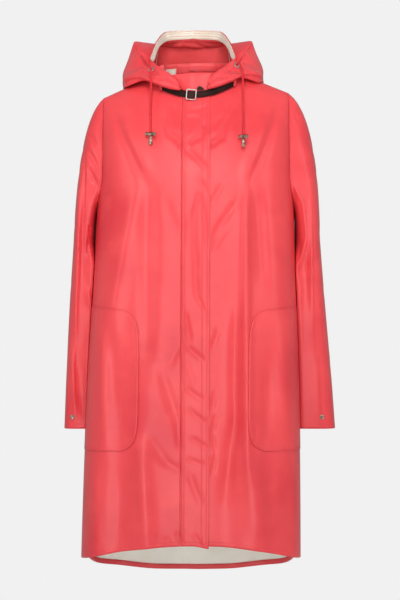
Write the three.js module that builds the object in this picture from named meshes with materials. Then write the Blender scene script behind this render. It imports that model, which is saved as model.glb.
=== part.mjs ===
// Hooded raincoat to the knee, filled out as on a general figure, with the hood pushed back.
// Millimetres, +Z up, the front faces -Y. The origin is the middle of the neck opening, level with
// the neck ends of the shoulder seams. "Right" and "left" are the wearer's: right is -X.

import * as THREE from 'three';

// Driving dimensions
const CLOTH = 1.6;                   // wall of the coated cloth, turned edges included
const SEAM_GAP = 0.3;                // clearance between pieces at a seam
const NECK_HALF_WIDTH = 72;
const FRONT_NECK_DROP = 56;
const BACK_NECK_RISE = 16;
const NECK_CROWN = 31;               // height that the shoulder form would reach over the neck
const SHOULDER_HALF_WIDTH = 180;
const SHOULDER_SLOPE = 0.43;
const ARMHOLE_DEPTH = 235;
const ARMHOLE_CURVE = 82;            // height over which the armhole turns into the side seam
const FRONT_ROLL = 130;              // height over which the front rounds over the shoulder
const BACK_ROLL = 60;
const CHEST_SQUARENESS = 2.9;        // exponent of the body's superellipse at the chest
const HIP_SQUARENESS = 4;            // and from the hips down, where the fronts hang flat
const CHEST_Z = -250;
const HIP_Z = -550;
const HEM_HALF_WIDTH = 212;
const LENGTH_FRONT = 907;            // shoulder level to the hem at the centre front
const LENGTH_SIDE = 938;
const LENGTH_BACK = 988;
const FRONT_HEM_CURVE = 2.2;         // exponent of the front hem's arch
const BACK_HEM_RISE = 19;            // part of the back hem's rise that is spread over its width
const BACK_HEM_TURN = 22;            // exponent of the rest, which turns up close to the side seam
const STRIP_EDGE = 27;               // free edge and sewn edge of the front strip from the centre
const UNDERLAP_EDGE = -24;
const STRIP_THICKNESS = 2;
const STRIP_STANDOFF = 2.6;          // outer face of the strip off the left front's
const SLEEVE_FOOT = -694;
const CAP_FOOT = -330;               // level below which the sleeve's sections are horizontal
const POCKET_TOP = -454;
const POCKET_FOOT = -732;
const POCKET_INNER_X = 103;
const POCKET_STANDOFF = 3.7;         // outer face of the pocket off the front's, clear of its folds
const HOOD_CENTRE_X = -6;
const HOOD_FRONT_TURN = 16;          // degrees round the neck from the centre front
const CORD_DIAMETER = 4.2;
const HEM_SWAY = 9.6;                // the hem hangs this far towards the wearer's right
const SWAY_TOP = -200;               // level where the sway begins
const STRIP_PLUMB = 7.5;             // of that sway, what the front strip doesn't follow
const STRIP_HOLD = 80;               // how far to each side the strip holds the fronts back
const SHOULDER_LIFT = 0.028;         // slope of the shoulders, with the wearer's left one higher
const LIFT_FOOT = -350;              // levels between which that slope comes in
const LIFT_TOP = -100;
const STRAP_WIDTH = 13;
const STRAP_THICKNESS = 2.2;

const SHOULDER_POINT_Z = -SHOULDER_SLOPE * (SHOULDER_HALF_WIDTH - NECK_HALF_WIDTH);
const UNDERARM_Z = SHOULDER_POINT_Z - ARMHOLE_DEPTH;
const DEGREE = Math.PI / 180;

// Body sections from the hem up: half width and the depths in front of and behind the side seams
const BODY = [
  { z: -990, halfWidth: 213.0, front: 161, back: 149 },
  { z: -945, halfWidth: 212.5, front: 160, back: 147 },
  { z: -820, halfWidth: 210.5, front: 156, back: 140 },
  { z: -694, halfWidth: 207.5, front: 152, back: 131 },
  { z: -569, halfWidth: 203.0, front: 148, back: 122 },
  { z: -409, halfWidth: 196.0, front: 142, back: 112 },
  { z: -289, halfWidth: 192.3, front: 136, back: 108 },
  { z: -200, halfWidth: 188.0, front: 127, back: 105 },
  { z: -135, halfWidth: 187.0, front: 111, back: 100 },
  { z: -90, halfWidth: 187.0, front: 92, back: 95 },
  { z: -56, halfWidth: 187.0, front: 77, back: 91 },
  { z: 0, halfWidth: 187.0, front: 58, back: 87 },
  { z: 31, halfWidth: 187.0, front: 50, back: 84 },
];

// Largest folds: where each runs at its top and foot, its half width and its height off the form
const FRONT_FOLDS = [
  { topX: -150, topZ: -330, footX: -186, footZ: -940, width: 26, height: 4.0 },
  { topX: -118, topZ: -260, footX: -142, footZ: -930, width: 22, height: -4.5 },
  { topX: -62, topZ: -200, footX: -92, footZ: -925, width: 30, height: 4.5 },
  { topX: 52, topZ: -240, footX: 60, footZ: -920, width: 24, height: -3.5 },
  { topX: 84, topZ: -170, footX: 112, footZ: -930, width: 28, height: 4.5 },
  { topX: 128, topZ: -300, footX: 160, footZ: -940, width: 24, height: -4.0 },
];
const BACK_FOLDS = [
  { topX: -120, topZ: -230, footX: -150, footZ: -960, width: 30, height: 5.5 },
  { topX: -60, topZ: -320, footX: -82, footZ: -980, width: 28, height: -5.0 },
  { topX: -4, topZ: -260, footX: -10, footZ: -985, width: 32, height: 5.0 },
  { topX: 62, topZ: -290, footX: 78, footZ: -980, width: 26, height: -5.5 },
  { topX: 116, topZ: -220, footX: 146, footZ: -960, width: 30, height: 5.0 },
];

// Sleeve sections below the cap: reach of each sleeve's outer side, then its front and back limits
const SLEEVE = [
  { z: -694, reachRight: 250.7, reachLeft: 278.3, front: -30, back: 76 },
  { z: -600, reachRight: 248.3, reachLeft: 270.2, front: -36, back: 88 },
  { z: -450, reachRight: 243.0, reachLeft: 255.0, front: -46, back: 102 },
  { z: -330, reachRight: 236.5, reachLeft: 243.5, front: -56, back: 106 },
];
const SLEEVE_CLEARANCE = 0.8;            // between the sleeve and the body's side

// Hood sections round the neck, from the front corner to the centre back. Each cloth section starts
// at the neck seam, lies outwards as the under layer, turns up at the fold, climbs the side to the
// ridge, and comes in to the foot of the drawcord tunnel and the brim. r is measured outwards.
const HOOD = [
  { turn: 16, underR: 80.5, underZ: -38.5, foldR: 88, foldZ: -43.5, sideR: 91, sideZ: -41.5,
    ridgeR: 91.5, ridgeZ: -39, tunnelR: 89.5, tunnelZ: -37, brimR: 86, brimZ: -36 },
  { turn: 22, underR: 80, underZ: -36, foldR: 89.5, foldZ: -42, sideR: 93.5, sideZ: -39,
    ridgeR: 94, ridgeZ: -34.5, tunnelR: 90.5, tunnelZ: -30, brimR: 85, brimZ: -22 },
  { turn: 31, underR: 79, underZ: -32, foldR: 92, foldZ: -38.5, sideR: 97, sideZ: -34,
    ridgeR: 96, ridgeZ: -27, tunnelR: 90.5, tunnelZ: -19, brimR: 82, brimZ: -10 },
  { turn: 49, underR: 80, underZ: -17, foldR: 98, foldZ: -28, sideR: 104, sideZ: -23,
    ridgeR: 100, ridgeZ: -15, tunnelR: 91, tunnelZ: -8, brimR: 79, brimZ: 3 },
  { turn: 63, underR: 84.5, underZ: -13, foldR: 108, foldZ: -19, sideR: 114, sideZ: -12,
    ridgeR: 104, ridgeZ: -4, tunnelR: 91, tunnelZ: 1, brimR: 80, brimZ: 13 },
  { turn: 80, underR: 100, underZ: -8, foldR: 130, foldZ: -27, sideR: 135, sideZ: -9,
    ridgeR: 100, ridgeZ: 19, tunnelR: 88, tunnelZ: 13, brimR: 85, brimZ: 27 },
  { turn: 93, underR: 104, underZ: -7, foldR: 136, foldZ: -28, sideR: 138, sideZ: -6,
    ridgeR: 103, ridgeZ: 37, tunnelR: 78, tunnelZ: 20, brimR: 81, brimZ: 40 },
  { turn: 108, underR: 104, underZ: -7, foldR: 134, foldZ: -33, sideR: 141, sideZ: -3,
    ridgeR: 121, ridgeZ: 58, tunnelR: 77, tunnelZ: 38, brimR: 80, brimZ: 56 },
  { turn: 124, underR: 100, underZ: -10, foldR: 136, foldZ: -45, sideR: 145, sideZ: -6,
    ridgeR: 117, ridgeZ: 61, tunnelR: 82, tunnelZ: 54, brimR: 86, brimZ: 73 },
  { turn: 137, underR: 101, underZ: -14, foldR: 135, foldZ: -66, sideR: 149, sideZ: -17,
    ridgeR: 121, ridgeZ: 62, tunnelR: 92, tunnelZ: 66, brimR: 94, brimZ: 86 },
  { turn: 150, underR: 104, underZ: -20, foldR: 134, foldZ: -90, sideR: 153, sideZ: -34,
    ridgeR: 126, ridgeZ: 62, tunnelR: 101, tunnelZ: 74, brimR: 107, brimZ: 93 },
  { turn: 180, underR: 110, underZ: -25, foldR: 130, foldZ: -104, sideR: 156, sideZ: -42,
    ridgeR: 130, ridgeZ: 60, tunnelR: 110, tunnelZ: 79, brimR: 112, brimZ: 97 },
];
const HOOD_CURVES = ['under', 'fold', 'side', 'ridge', 'tunnel', 'brim'];
const HOOD_RISE = 6;                 // the under layer stands up this far before it falls outwards
const HOOD_CLEARANCE = 2.2;          // between the under layer and the shoulders

// Finishes
const CORAL = { color: 0xee4f55, roughness: 0.38, metalness: 0 };
const CREAM = { color: 0xe4dccb, roughness: 0.85, metalness: 0 };
const LEATHER = { color: 0x33201b, roughness: 0.5, metalness: 0 };
const SILVER = { color: 0xc9bdb6, roughness: 0.28, metalness: 1 };
const ANTIQUE = { color: 0x8d857b, roughness: 0.4, metalness: 1 };

const coat = new THREE.Group();

// Small helpers

function clamp(value, low, high) {
  return Math.min(Math.max(value, low), high);
}

function ease(from, to, value) {
  const t = clamp((value - from) / (to - from), 0, 1);
  return t * t * (3 - 2 * t);
}

// Smooth curve through one column of a table: a cubic between rows, sloped by the neighbours.
function follow(table, key, column, at) {
  let i = 0;
  while (i < table.length - 2 && at > table[i + 1][key]) i += 1;
  const slope = (n) => {
    const before = table[Math.max(n - 1, 0)];
    const after = table[Math.min(n + 1, table.length - 1)];
    return (after[column] - before[column]) / (after[key] - before[key]);
  };
  const span = table[i + 1][key] - table[i][key];
  const t = clamp((at - table[i][key]) / span, 0, 1);
  const rise = t * t * (3 - 2 * t);
  const start = t * (1 - t) * (1 - t) * span * slope(i);
  const end = t * t * (t - 1) * span * slope(i + 1);
  return table[i][column] * (1 - rise) + table[i + 1][column] * rise + start + end;
}

// Evenly spaced values over a range, both ends included.
function spread(from, to, count) {
  return Array.from({ length: count + 1 }, (_, i) => from + (to - from) * i / count);
}

// The coat hangs a little off true: the hem sways to the right, the front strip stays nearly plumb
// and the left shoulder sits higher.
function hang(point) {
  const plumb = point.y < 0 ? STRIP_PLUMB * Math.exp(-((point.x / STRIP_HOLD) ** 2)) : 0;
  const down = clamp((SWAY_TOP - point.z) / (SWAY_TOP + LENGTH_SIDE), 0, 1);
  const sway = (plumb - HEM_SWAY) * down;
  const lift = SHOULDER_LIFT * point.x * ease(LIFT_FOOT, LIFT_TOP, point.z);
  return new THREE.Vector3(point.x + sway, point.y, point.z + lift);
}

function addPiece(name, geometry, finish) {
  const mesh = new THREE.Mesh(geometry, new THREE.MeshStandardMaterial(finish));
  mesh.name = name;
  coat.add(mesh);
}

// Turns a grid of points into a wall. The grid is the visible face, moved out by lift. The other
// face lies one thickness behind it, and limit keeps the points on their own side of a seam. The
// slope at the first and last columns comes from beyond, the columns just past them, where given.
function sheet(points, options = {}) {
  const { thickness = CLOTH, lift = 0, closed = false, beyond = null, limit = (p) => p } = options;
  const columns = points.length;
  const rows = points[0].length;
  const column = (i) => points[closed ? (i + columns) % columns : clamp(i, 0, columns - 1)];
  const at = (i, j) => column(i)[clamp(j, 0, rows - 1)];
  const across = (i, j) => {
    if (beyond && i === 0) return at(0, j).clone().sub(beyond[0][j]);
    if (beyond && i === columns - 1) return beyond[1][j].clone().sub(at(i, j));
    return at(i + 1, j).clone().sub(at(i - 1, j));
  };
  const normal = (i, j) => {
    const along = at(i, j + 1).clone().sub(at(i, j - 1));
    return across(i, j).cross(along).normalize();
  };
  const vertices = [];
  const push = (point) => {
    const settled = hang(limit(point));
    vertices.push(settled.x, settled.y, settled.z);
  };
  for (const depth of [lift, lift - thickness]) {
    for (let i = 0; i < columns; i += 1) {
      for (let j = 0; j < rows; j += 1) {
        push(at(i, j).clone().addScaledVector(normal(i, j), depth));
      }
    }
  }
  const back = columns * rows;
  const index = [];
  const quad = (a, b, c, d) => index.push(a, b, c, a, c, d);
  const id = (i, j) => ((i + columns) % columns) * rows + j;
  const last = closed ? columns : columns - 1;
  for (let i = 0; i < last; i += 1) {
    for (let j = 0; j < rows - 1; j += 1) {
      quad(id(i, j), id(i + 1, j), id(i + 1, j + 1), id(i, j + 1));
      quad(back + id(i, j), back + id(i, j + 1), back + id(i + 1, j + 1), back + id(i + 1, j));
    }
    quad(id(i, 0), back + id(i, 0), back + id(i + 1, 0), id(i + 1, 0));
    quad(id(i, rows - 1), id(i + 1, rows - 1), back + id(i + 1, rows - 1), back + id(i, rows - 1));
  }
  if (!closed) {
    for (let j = 0; j < rows - 1; j += 1) {
      quad(id(0, j), id(0, j + 1), back + id(0, j + 1), back + id(0, j));
      quad(id(last, j), back + id(last, j), back + id(last, j + 1), id(last, j + 1));
    }
  }
  const geometry = new THREE.BufferGeometry();
  geometry.setAttribute('position', new THREE.Float32BufferAttribute(vertices, 3));
  geometry.setIndex(index);
  return geometry;
}

// A solid turned round an axis, with its foot at a place and its axis along a direction.
function turned(profile, segments, place, direction) {
  const outline = profile.map(([radius, height]) => new THREE.Vector2(radius, height));
  const geometry = new THREE.LatheGeometry(outline, segments);
  const swing = new THREE.Quaternion();
  swing.setFromUnitVectors(new THREE.Vector3(0, 1, 0), direction.clone().normalize());
  geometry.applyQuaternion(swing);
  geometry.translate(place.x, place.y, place.z);
  return geometry;
}

// The body's form

function shoulderHeight(x) {
  const side = Math.abs(x);
  if (side < NECK_HALF_WIDTH) return NECK_CROWN * (1 - (side / NECK_HALF_WIDTH) ** 2);
  return -SHOULDER_SLOPE * (side - NECK_HALF_WIDTH);
}

// A fold is a long soft ridge: a bell across, growing from its top to its foot.
function foldHeight(folds, x, z) {
  let total = 0;
  for (const fold of folds) {
    const down = clamp((fold.topZ - z) / (fold.topZ - fold.footZ), 0, 1.05);
    const offset = (x - fold.topX - (fold.footX - fold.topX) * down) / fold.width;
    total += fold.height * ease(0, 0.6, down) * Math.exp(-offset * offset);
  }
  return total;
}

// Distance of the cloth from the plane of the side and shoulder seams: a superellipse across,
// rounded over the shoulder, with the folds fading out at the seams.
function bodyDepth(x, z, front) {
  const half = follow(BODY, 'z', 'halfWidth', z);
  const depth = follow(BODY, 'z', front ? 'front' : 'back', z);
  const across = Math.min(Math.abs(x) / half, 1);
  const power = CHEST_SQUARENESS + (HIP_SQUARENESS - CHEST_SQUARENESS) * ease(CHEST_Z, HIP_Z, z);
  const round = (1 - across ** power) ** (1 / power);
  const drop = clamp((shoulderHeight(x) - z) / (front ? FRONT_ROLL : BACK_ROLL), 0, 1);
  const rise = Math.sqrt(1 - (1 - drop) ** 2);
  const folds = foldHeight(front ? FRONT_FOLDS : BACK_FOLDS, x, z) * ease(0, 0.5, round);
  return depth * round * rise + folds;
}

function bodyPoint(x, z, front) {
  const depth = bodyDepth(x, z, front) + SEAM_GAP / 2;
  return new THREE.Vector3(x, front ? -depth : depth, z);
}

function neckEdge(x, front) {
  const fall = Math.sqrt(Math.max(1 - (x / NECK_HALF_WIDTH) ** 2, 0));
  return front ? -FRONT_NECK_DROP * fall : BACK_NECK_RISE * fall;
}

function topEdge(x, front) {
  return Math.abs(x) < NECK_HALF_WIDTH ? neckEdge(x, front) : shoulderHeight(x);
}

// The side seam below the underarm, and the armhole above it.
function outerEdge(z) {
  const half = follow(BODY, 'z', 'halfWidth', z);
  return half + (SHOULDER_HALF_WIDTH - half) * ease(0, ARMHOLE_CURVE, z - UNDERARM_Z);
}

// The hem is a shallow arch at the front. Behind, it rises gently and then turns up to the side seam.
function hemHeight(share, front) {
  const side = Math.abs(share);
  if (front) return -LENGTH_FRONT - (LENGTH_SIDE - LENGTH_FRONT) * side ** FRONT_HEM_CURVE;
  const turn = LENGTH_BACK - LENGTH_SIDE - BACK_HEM_RISE;
  return -LENGTH_BACK + BACK_HEM_RISE * side ** 2 + turn * side ** BACK_HEM_TURN;
}

// Columns run from hem to top at a share of the half width, and rows are closest at the shoulder.
const NECK_SHARES = [0, 0.13, 0.25, 0.34];
const SIDE_SHARES = [0.4, 0.54, 0.68, 0.8, 0.89, 0.95, 0.985, 1];
const DROPS = [0, 0.0035, 0.0099, 0.0205, 0.0383, 0.058, 0.0808, 0.1308, 0.1804, 0.2228, 0.2512, 0.2615,
  0.31, 0.39, 0.49, 0.6, 0.7, 0.8, 0.9, 1];

function bodyColumn(share, front, fixedX) {
  const topX = fixedX === undefined ? SHOULDER_HALF_WIDTH * share : fixedX;
  const top = topEdge(topX, front);
  const foot = hemHeight(fixedX === undefined ? share : fixedX / HEM_HALF_WIDTH, front);
  return DROPS.map((drop) => {
    const z = top + (foot - top) * drop;
    const x = fixedX === undefined ? outerEdge(z) * share : fixedX;
    return bodyPoint(x, z, front);
  }).reverse();
}

const keepFront = (p) => new THREE.Vector3(p.x, Math.min(p.y, -SEAM_GAP / 2), p.z);
const keepBack = (p) => new THREE.Vector3(p.x, Math.max(p.y, SEAM_GAP / 2), p.z);

function buildBody() {
  const right = [
    ...[...SIDE_SHARES].reverse().map((share) => bodyColumn(-share, true)),
    bodyColumn(-NECK_SHARES[3], true),
    bodyColumn(-NECK_SHARES[2], true),
    bodyColumn(0, true, -STRIP_EDGE - SEAM_GAP),
  ];
  addPiece('front_panel_right', sheet(right, { limit: keepFront }), CORAL);

  const left = [
    bodyColumn(0, true, UNDERLAP_EDGE),
    ...NECK_SHARES.map((share) => bodyColumn(share, true)),
    ...SIDE_SHARES.map((share) => bodyColumn(share, true)),
  ];
  addPiece('front_panel_left', sheet(left, { limit: keepFront }), CORAL);

  const laid = { thickness: STRIP_THICKNESS, lift: STRIP_STANDOFF, limit: keepFront };
  const strip = spread(-STRIP_EDGE, STRIP_EDGE, 4).map((x) => bodyColumn(0, true, x));
  addPiece('front_strip', sheet(strip, laid), CORAL);

  const shares = [...NECK_SHARES, 0.4, 0.56, 0.74, 0.89, 0.97, 1];
  const wide = [...shares.slice(1).map((share) => -share).reverse(), ...shares];
  const back = wide.map((share) => bodyColumn(share, false)).reverse();
  addPiece('back_panel', sheet(back, { limit: keepBack }), CORAL);

  const turnup = wide.slice(1, -1).map((share) => {
    const foot = hemHeight(share, false);
    return [foot + 0.6, foot + 10].map((z) => bodyPoint(outerEdge(z) * share, z, false));
  }).reverse();
  const inside = { thickness: 1.2, lift: -CLOTH - 0.5, limit: keepBack };
  addPiece('back_hem_turnup', sheet(turnup, inside), CORAL);
}

// Patch pockets: a squircle outline from the side seam, lying on the front panel.
const POCKET_ROWS = [-0.985, -0.94, -0.84, -0.66, -0.4, 0, 0.4, 0.66, 0.84, 0.94, 0.985];
const POCKET_SHARES = [0, 0.16, 0.34, 0.53, 0.7, 0.84, 0.94, 1];
const POCKET_ROUNDNESS = 6;
const POCKET_SLANT = 9;              // the top edge falls towards the front

function pocketPoint(side, across, up) {
  const middle = (POCKET_TOP + POCKET_FOOT) / 2;
  const half = (POCKET_TOP - POCKET_FOOT) / 2;
  const level = middle + half * up;
  const edge = outerEdge(level) * 0.997;
  const reach = (edge - POCKET_INNER_X) * (1 - Math.abs(up) ** POCKET_ROUNDNESS) ** (1 / POCKET_ROUNDNESS);
  const x = edge - reach * (1 - across);
  const slant = POCKET_SLANT * clamp((edge - x) / 80, 0, 1) * (up + 1) / 2;
  return bodyPoint(side * x, level - slant, true);
}

function buildPockets() {
  for (const [name, side] of [['pocket_right', -1], ['pocket_left', 1]]) {
    const grid = POCKET_SHARES.map((across) => POCKET_ROWS.map((up) => pocketPoint(side, across, up)));
    if (side < 0) grid.reverse();
    addPiece(name, sheet(grid, { lift: POCKET_STANDOFF, limit: keepFront }), CORAL);
  }
}

// Sleeves: the cap swings from the armhole's upright ring to horizontal sections down the arm.

function armholePoint(angle) {
  const z = UNDERARM_Z + ARMHOLE_DEPTH * (1 + Math.cos(angle)) / 2;
  const x = outerEdge(z);
  const front = Math.sin(angle) >= 0;
  const depth = bodyDepth(x, z, front);
  return new THREE.Vector3(x + SEAM_GAP, front ? -depth : depth, z);
}

function sleeveSection(side, angle, z) {
  const outer = follow(SLEEVE, 'z', side < 0 ? 'reachRight' : 'reachLeft', z);
  const inner = follow(BODY, 'z', 'halfWidth', z) + SLEEVE_CLEARANCE;
  const front = follow(SLEEVE, 'z', 'front', z);
  const back = follow(SLEEVE, 'z', 'back', z);
  const x = (outer + inner) / 2 + (outer - inner) / 2 * Math.cos(angle);
  const y = (front + back) / 2 - (back - front) / 2 * Math.sin(angle);
  return new THREE.Vector3(x, y, z);
}

// The cap is a quadratic curve, and its middle point sets how round the shoulder is.
const CAP_BEND = { out: 0.91, across: 0.5, down: 0.14 };

function capPoint(side, angle, down) {
  const from = armholePoint(angle);
  const to = sleeveSection(side, angle, CAP_FOOT);
  const bend = new THREE.Vector3(
    from.x + (to.x - from.x) * CAP_BEND.out,
    from.y + (to.y - from.y) * CAP_BEND.across,
    from.z + (to.z - from.z) * CAP_BEND.down,
  );
  return from.multiplyScalar((1 - down) ** 2)
    .addScaledVector(bend, 2 * down * (1 - down))
    .addScaledVector(to, down * down);
}

const CAP_STEPS = [0, 0.12, 0.27, 0.45, 0.65, 0.84];
const SLEEVE_LEVELS = [-330, -385, -440, -500, -560, -620, -660, SLEEVE_FOOT];
const SLEEVE_SIDES = 16;

function buildSleeves() {
  for (const [name, side] of [['sleeve_right', -1], ['sleeve_left', 1]]) {
    const grid = [];
    for (let i = 0; i < SLEEVE_SIDES; i += 1) {
      const angle = i / SLEEVE_SIDES * 2 * Math.PI;
      const cap = CAP_STEPS.map((down) => capPoint(side, angle, down));
      const arm = SLEEVE_LEVELS.map((z) => sleeveSection(side, angle, z));
      grid.push([...cap, ...arm].map((p) => new THREE.Vector3(side * p.x, p.y, p.z)));
    }
    if (side < 0) grid.reverse();
    const clear = (p) => {
      const least = outerEdge(p.z) + SEAM_GAP;
      return new THREE.Vector3(side * Math.max(side * p.x, least), p.y, p.z);
    };
    addPiece(name, sheet(grid, { closed: true, limit: clear }), CORAL);
  }
}

// Hood: one cloth section for each turn round the neck, as a smooth curve through its table row.

// The rim of the neck opening runs straight between the body's columns.
function neckRim(x, front) {
  const stops = [...NECK_SHARES, SIDE_SHARES[0]].map((share) => share * SHOULDER_HALF_WIDTH);
  const side = Math.min(Math.abs(x), NECK_HALF_WIDTH);
  const n = Math.max(stops.findIndex((stop) => stop >= side), 1);
  const corner = (stop) => bodyPoint(stop, neckEdge(stop, front), front);
  const from = corner(stops[n - 1]);
  const to = corner(stops[n]);
  const rim = from.lerp(to, (side - from.x) / (to.x - from.x));
  return new THREE.Vector3(Math.sign(x) * rim.x, rim.y, rim.z);
}

// Lifts a point of the hood until it is clear of the shoulders.
function overShoulders(point, clearance) {
  const front = point.y < 0;
  const inside = () => point.z - clearance < shoulderHeight(point.x)
    && Math.abs(point.y) < bodyDepth(point.x, point.z - clearance, front) + clearance;
  while (inside()) point.z += 0.25;
  return point;
}

function hoodPoint(turn, along, side) {
  const lean = turn <= 180 ? turn : 360 - turn;
  const hand = turn <= 180 ? side : -side;
  const front = lean < 90;
  const sine = Math.sin(lean * DEGREE);
  const neck = neckRim(hand * NECK_HALF_WIDTH * sine, front);
  neck.z += SEAM_GAP;
  const rise = new THREE.Vector3(neck.x * 1.02, neck.y * 1.02, neck.z + HOOD_RISE);
  const knots = [neck, rise];
  for (const curve of HOOD_CURVES) {
    const r = follow(HOOD, 'turn', curve + 'R', lean);
    const z = follow(HOOD, 'turn', curve + 'Z', lean);
    knots.push(new THREE.Vector3(HOOD_CENTRE_X + hand * r * sine, -r * Math.cos(lean * DEGREE), z));
  }
  const section = new THREE.CatmullRomCurve3(knots, false, 'centripetal');
  return overShoulders(section.getPoint(along / (knots.length - 1)), HOOD_CLEARANCE * clamp(along - 1, 0, 1));
}

const HOOD_TURNS = [24, 31, 38.7, 48, 58.2, 65, 72, 79, 86, 93, 100, 107, 114, 121.8, 131, 141.3];
const HOOD_STEPS = [0, 1, 1.5, 2, 2.5, 2.8, 3, 3.25, 3.6, 4, 4.5, 5, 5.25, 5.6, 6, 6.5, 7];
const CENTRE_TURNS = [154, 161, 170.5, 180, 189.5, 199, 206];
const SEAM_TURN = 147.5;
const SEAM_HALF_GAP = 0.2;           // degrees
const TAPE_FOOT = 6.08;              // places along the cloth section, where 6 is the tunnel's foot
const TAPE_TOP = 6.95;
const TAPE_NARROWING = 0.3;

function hoodColumn(turn, side) {
  return HOOD_STEPS.map((along) => hoodPoint(turn, along, side));
}

function buildHood() {
  for (const [name, side] of [['hood_side_right', -1], ['hood_side_left', 1]]) {
    const corner = side < 0 ? HOOD_FRONT_TURN : HOOD_FRONT_TURN + 4.5;
    const turns = [corner, ...HOOD_TURNS, SEAM_TURN - SEAM_HALF_GAP];
    const grid = turns.map((turn) => hoodColumn(turn, side));
    const beyond = [hoodColumn(corner - 1, side), hoodColumn(SEAM_TURN + 1, side)];
    if (side < 0) grid.reverse();
    if (side < 0) beyond.reverse();
    addPiece(name, sheet(grid, { beyond }), CORAL);
  }
  const ends = [SEAM_TURN + SEAM_HALF_GAP, 360 - SEAM_TURN - SEAM_HALF_GAP];
  const centre = [ends[0], ...CENTRE_TURNS, ends[1]].map((turn) => hoodColumn(turn, 1));
  const beyond = [hoodColumn(SEAM_TURN - 1, 1), hoodColumn(361 - SEAM_TURN, 1)];
  addPiece('hood_centre', sheet(centre, { beyond }), CORAL);

  // The pale tape closes the drawcord's tunnel on the brim's inner face, and narrows down its sides.
  const half = HOOD_TURNS.slice(7);
  const back = [SEAM_TURN, ...CENTRE_TURNS, 360 - SEAM_TURN];
  const turns = [...half, ...back, ...half.map((turn) => 360 - turn).reverse()];
  const tape = turns.map((turn) => {
    const foot = TAPE_FOOT + TAPE_NARROWING * ease(146, 118, Math.min(turn, 360 - turn));
    return spread(foot, TAPE_TOP, 2).map((along) => hoodPoint(turn, along, 1));
  });
  addPiece('hood_tunnel_tape', sheet(tape, { thickness: 1.2, lift: -CLOTH - 0.8 }), CREAM);
}

// Inside of the neck: a stand at the front, and a tape, label and hanger loop at the back.

function neckInside(turn, inset) {
  const front = Math.cos(turn * DEGREE) > 0;
  const rim = neckRim(NECK_HALF_WIDTH * Math.sin(turn * DEGREE), front);
  const inward = new THREE.Vector3(-rim.x, -rim.y, 0).normalize().multiplyScalar(inset);
  return rim.add(inward);
}

function neckBand(turns, inset, heights) {
  return turns.map((turn) => {
    const foot = neckInside(turn, inset);
    return heights(foot, turn).map((z) => new THREE.Vector3(foot.x, foot.y, z));
  });
}

function buildNeck() {
  const stand = neckBand(spread(-72, 72, 12), 2.3, (foot) => {
    const top = -9 - 4 * (foot.x / NECK_HALF_WIDTH) ** 2;
    return [foot.z + 0.5, (foot.z + top) / 2 + 2, Math.max(top, foot.z + 5)];
  });
  addPiece('neck_stand', sheet(stand, { thickness: 2 }), CORAL);

  const tape = neckBand(spread(108, 252, 12), 3, (foot) => [foot.z - 13, foot.z + 1.5]);
  addPiece('neck_tape', sheet(tape, { thickness: 1.2 }), CORAL);

  const label = neckBand(spread(216, 240, 2), 4.7, (foot) => [foot.z - 15, foot.z - 1]);
  addPiece('neck_label', sheet(label, { thickness: 0.8 }), CREAM);

  const loop = neckBand(spread(132, 192, 5), 4.7, (foot) => [foot.z - 9, foot.z - 0.5]);
  addPiece('hanger_loop', sheet(loop, { thickness: 1.4 }), CORAL);
}

// Leather strap across the front of the neck, with its buckle.

const STRAP_END = 71;
const KEEPER_WIDTH = 5;
const STRAP_STANDOFF = 3.3;
const STRAP_LOW_Z = -51;
const STRAP_SAG = 22;
const BUCKLE_X = -9;
const BUCKLE_WIDTH = 20;
const BUCKLE_HEIGHT = 21.5;
const BUCKLE_BAR = 2.3;
const BUCKLE_TILT = 4.8 * DEGREE;

// Middle of the strap: it sags from the neck points to the centre front.
function strapHeight(x) {
  return STRAP_LOW_Z + STRAP_SAG * (x / NECK_HALF_WIDTH) ** 2;
}

// Front face of the strap: upright across its width, clear of the cloth at its lower edge.
function strapPoint(x, up, out = 0) {
  const middle = strapHeight(x);
  const depth = bodyDepth(x, middle - STRAP_WIDTH / 2, true) + STRAP_STANDOFF + STRAP_THICKNESS + out;
  return new THREE.Vector3(x, -depth, middle + up);
}

function strapPiece(from, to, steps) {
  const edges = [-STRAP_WIDTH / 2, STRAP_WIDTH / 2];
  return sheet(spread(from, to, steps).map((x) => edges.map((up) => strapPoint(x, up))), {
    thickness: STRAP_THICKNESS,
  });
}

// A flat plate from an outline, standing in the strap's plane with its face towards the front.
function standingPlate(outline, depth, place, turn) {
  const plate = new THREE.ExtrudeGeometry(outline, { depth, curveSegments: 4, bevelEnabled: false });
  plate.rotateZ(-turn);
  plate.rotateX(Math.PI / 2);
  plate.translate(place.x, place.y, place.z);
  return plate;
}

function roundedRectangle(shape, width, height, radius) {
  const [x, y] = [width / 2, height / 2];
  shape.moveTo(-x + radius, -y);
  shape.lineTo(x - radius, -y);
  shape.absarc(x - radius, -y + radius, radius, -Math.PI / 2, 0);
  shape.lineTo(x, y - radius);
  shape.absarc(x - radius, y - radius, radius, 0, Math.PI / 2);
  shape.lineTo(-x + radius, y);
  shape.absarc(-x + radius, y - radius, radius, Math.PI / 2, Math.PI);
  shape.lineTo(-x, -y + radius);
  shape.absarc(-x + radius, -y + radius, radius, Math.PI, Math.PI * 1.5);
  return shape;
}

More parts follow.
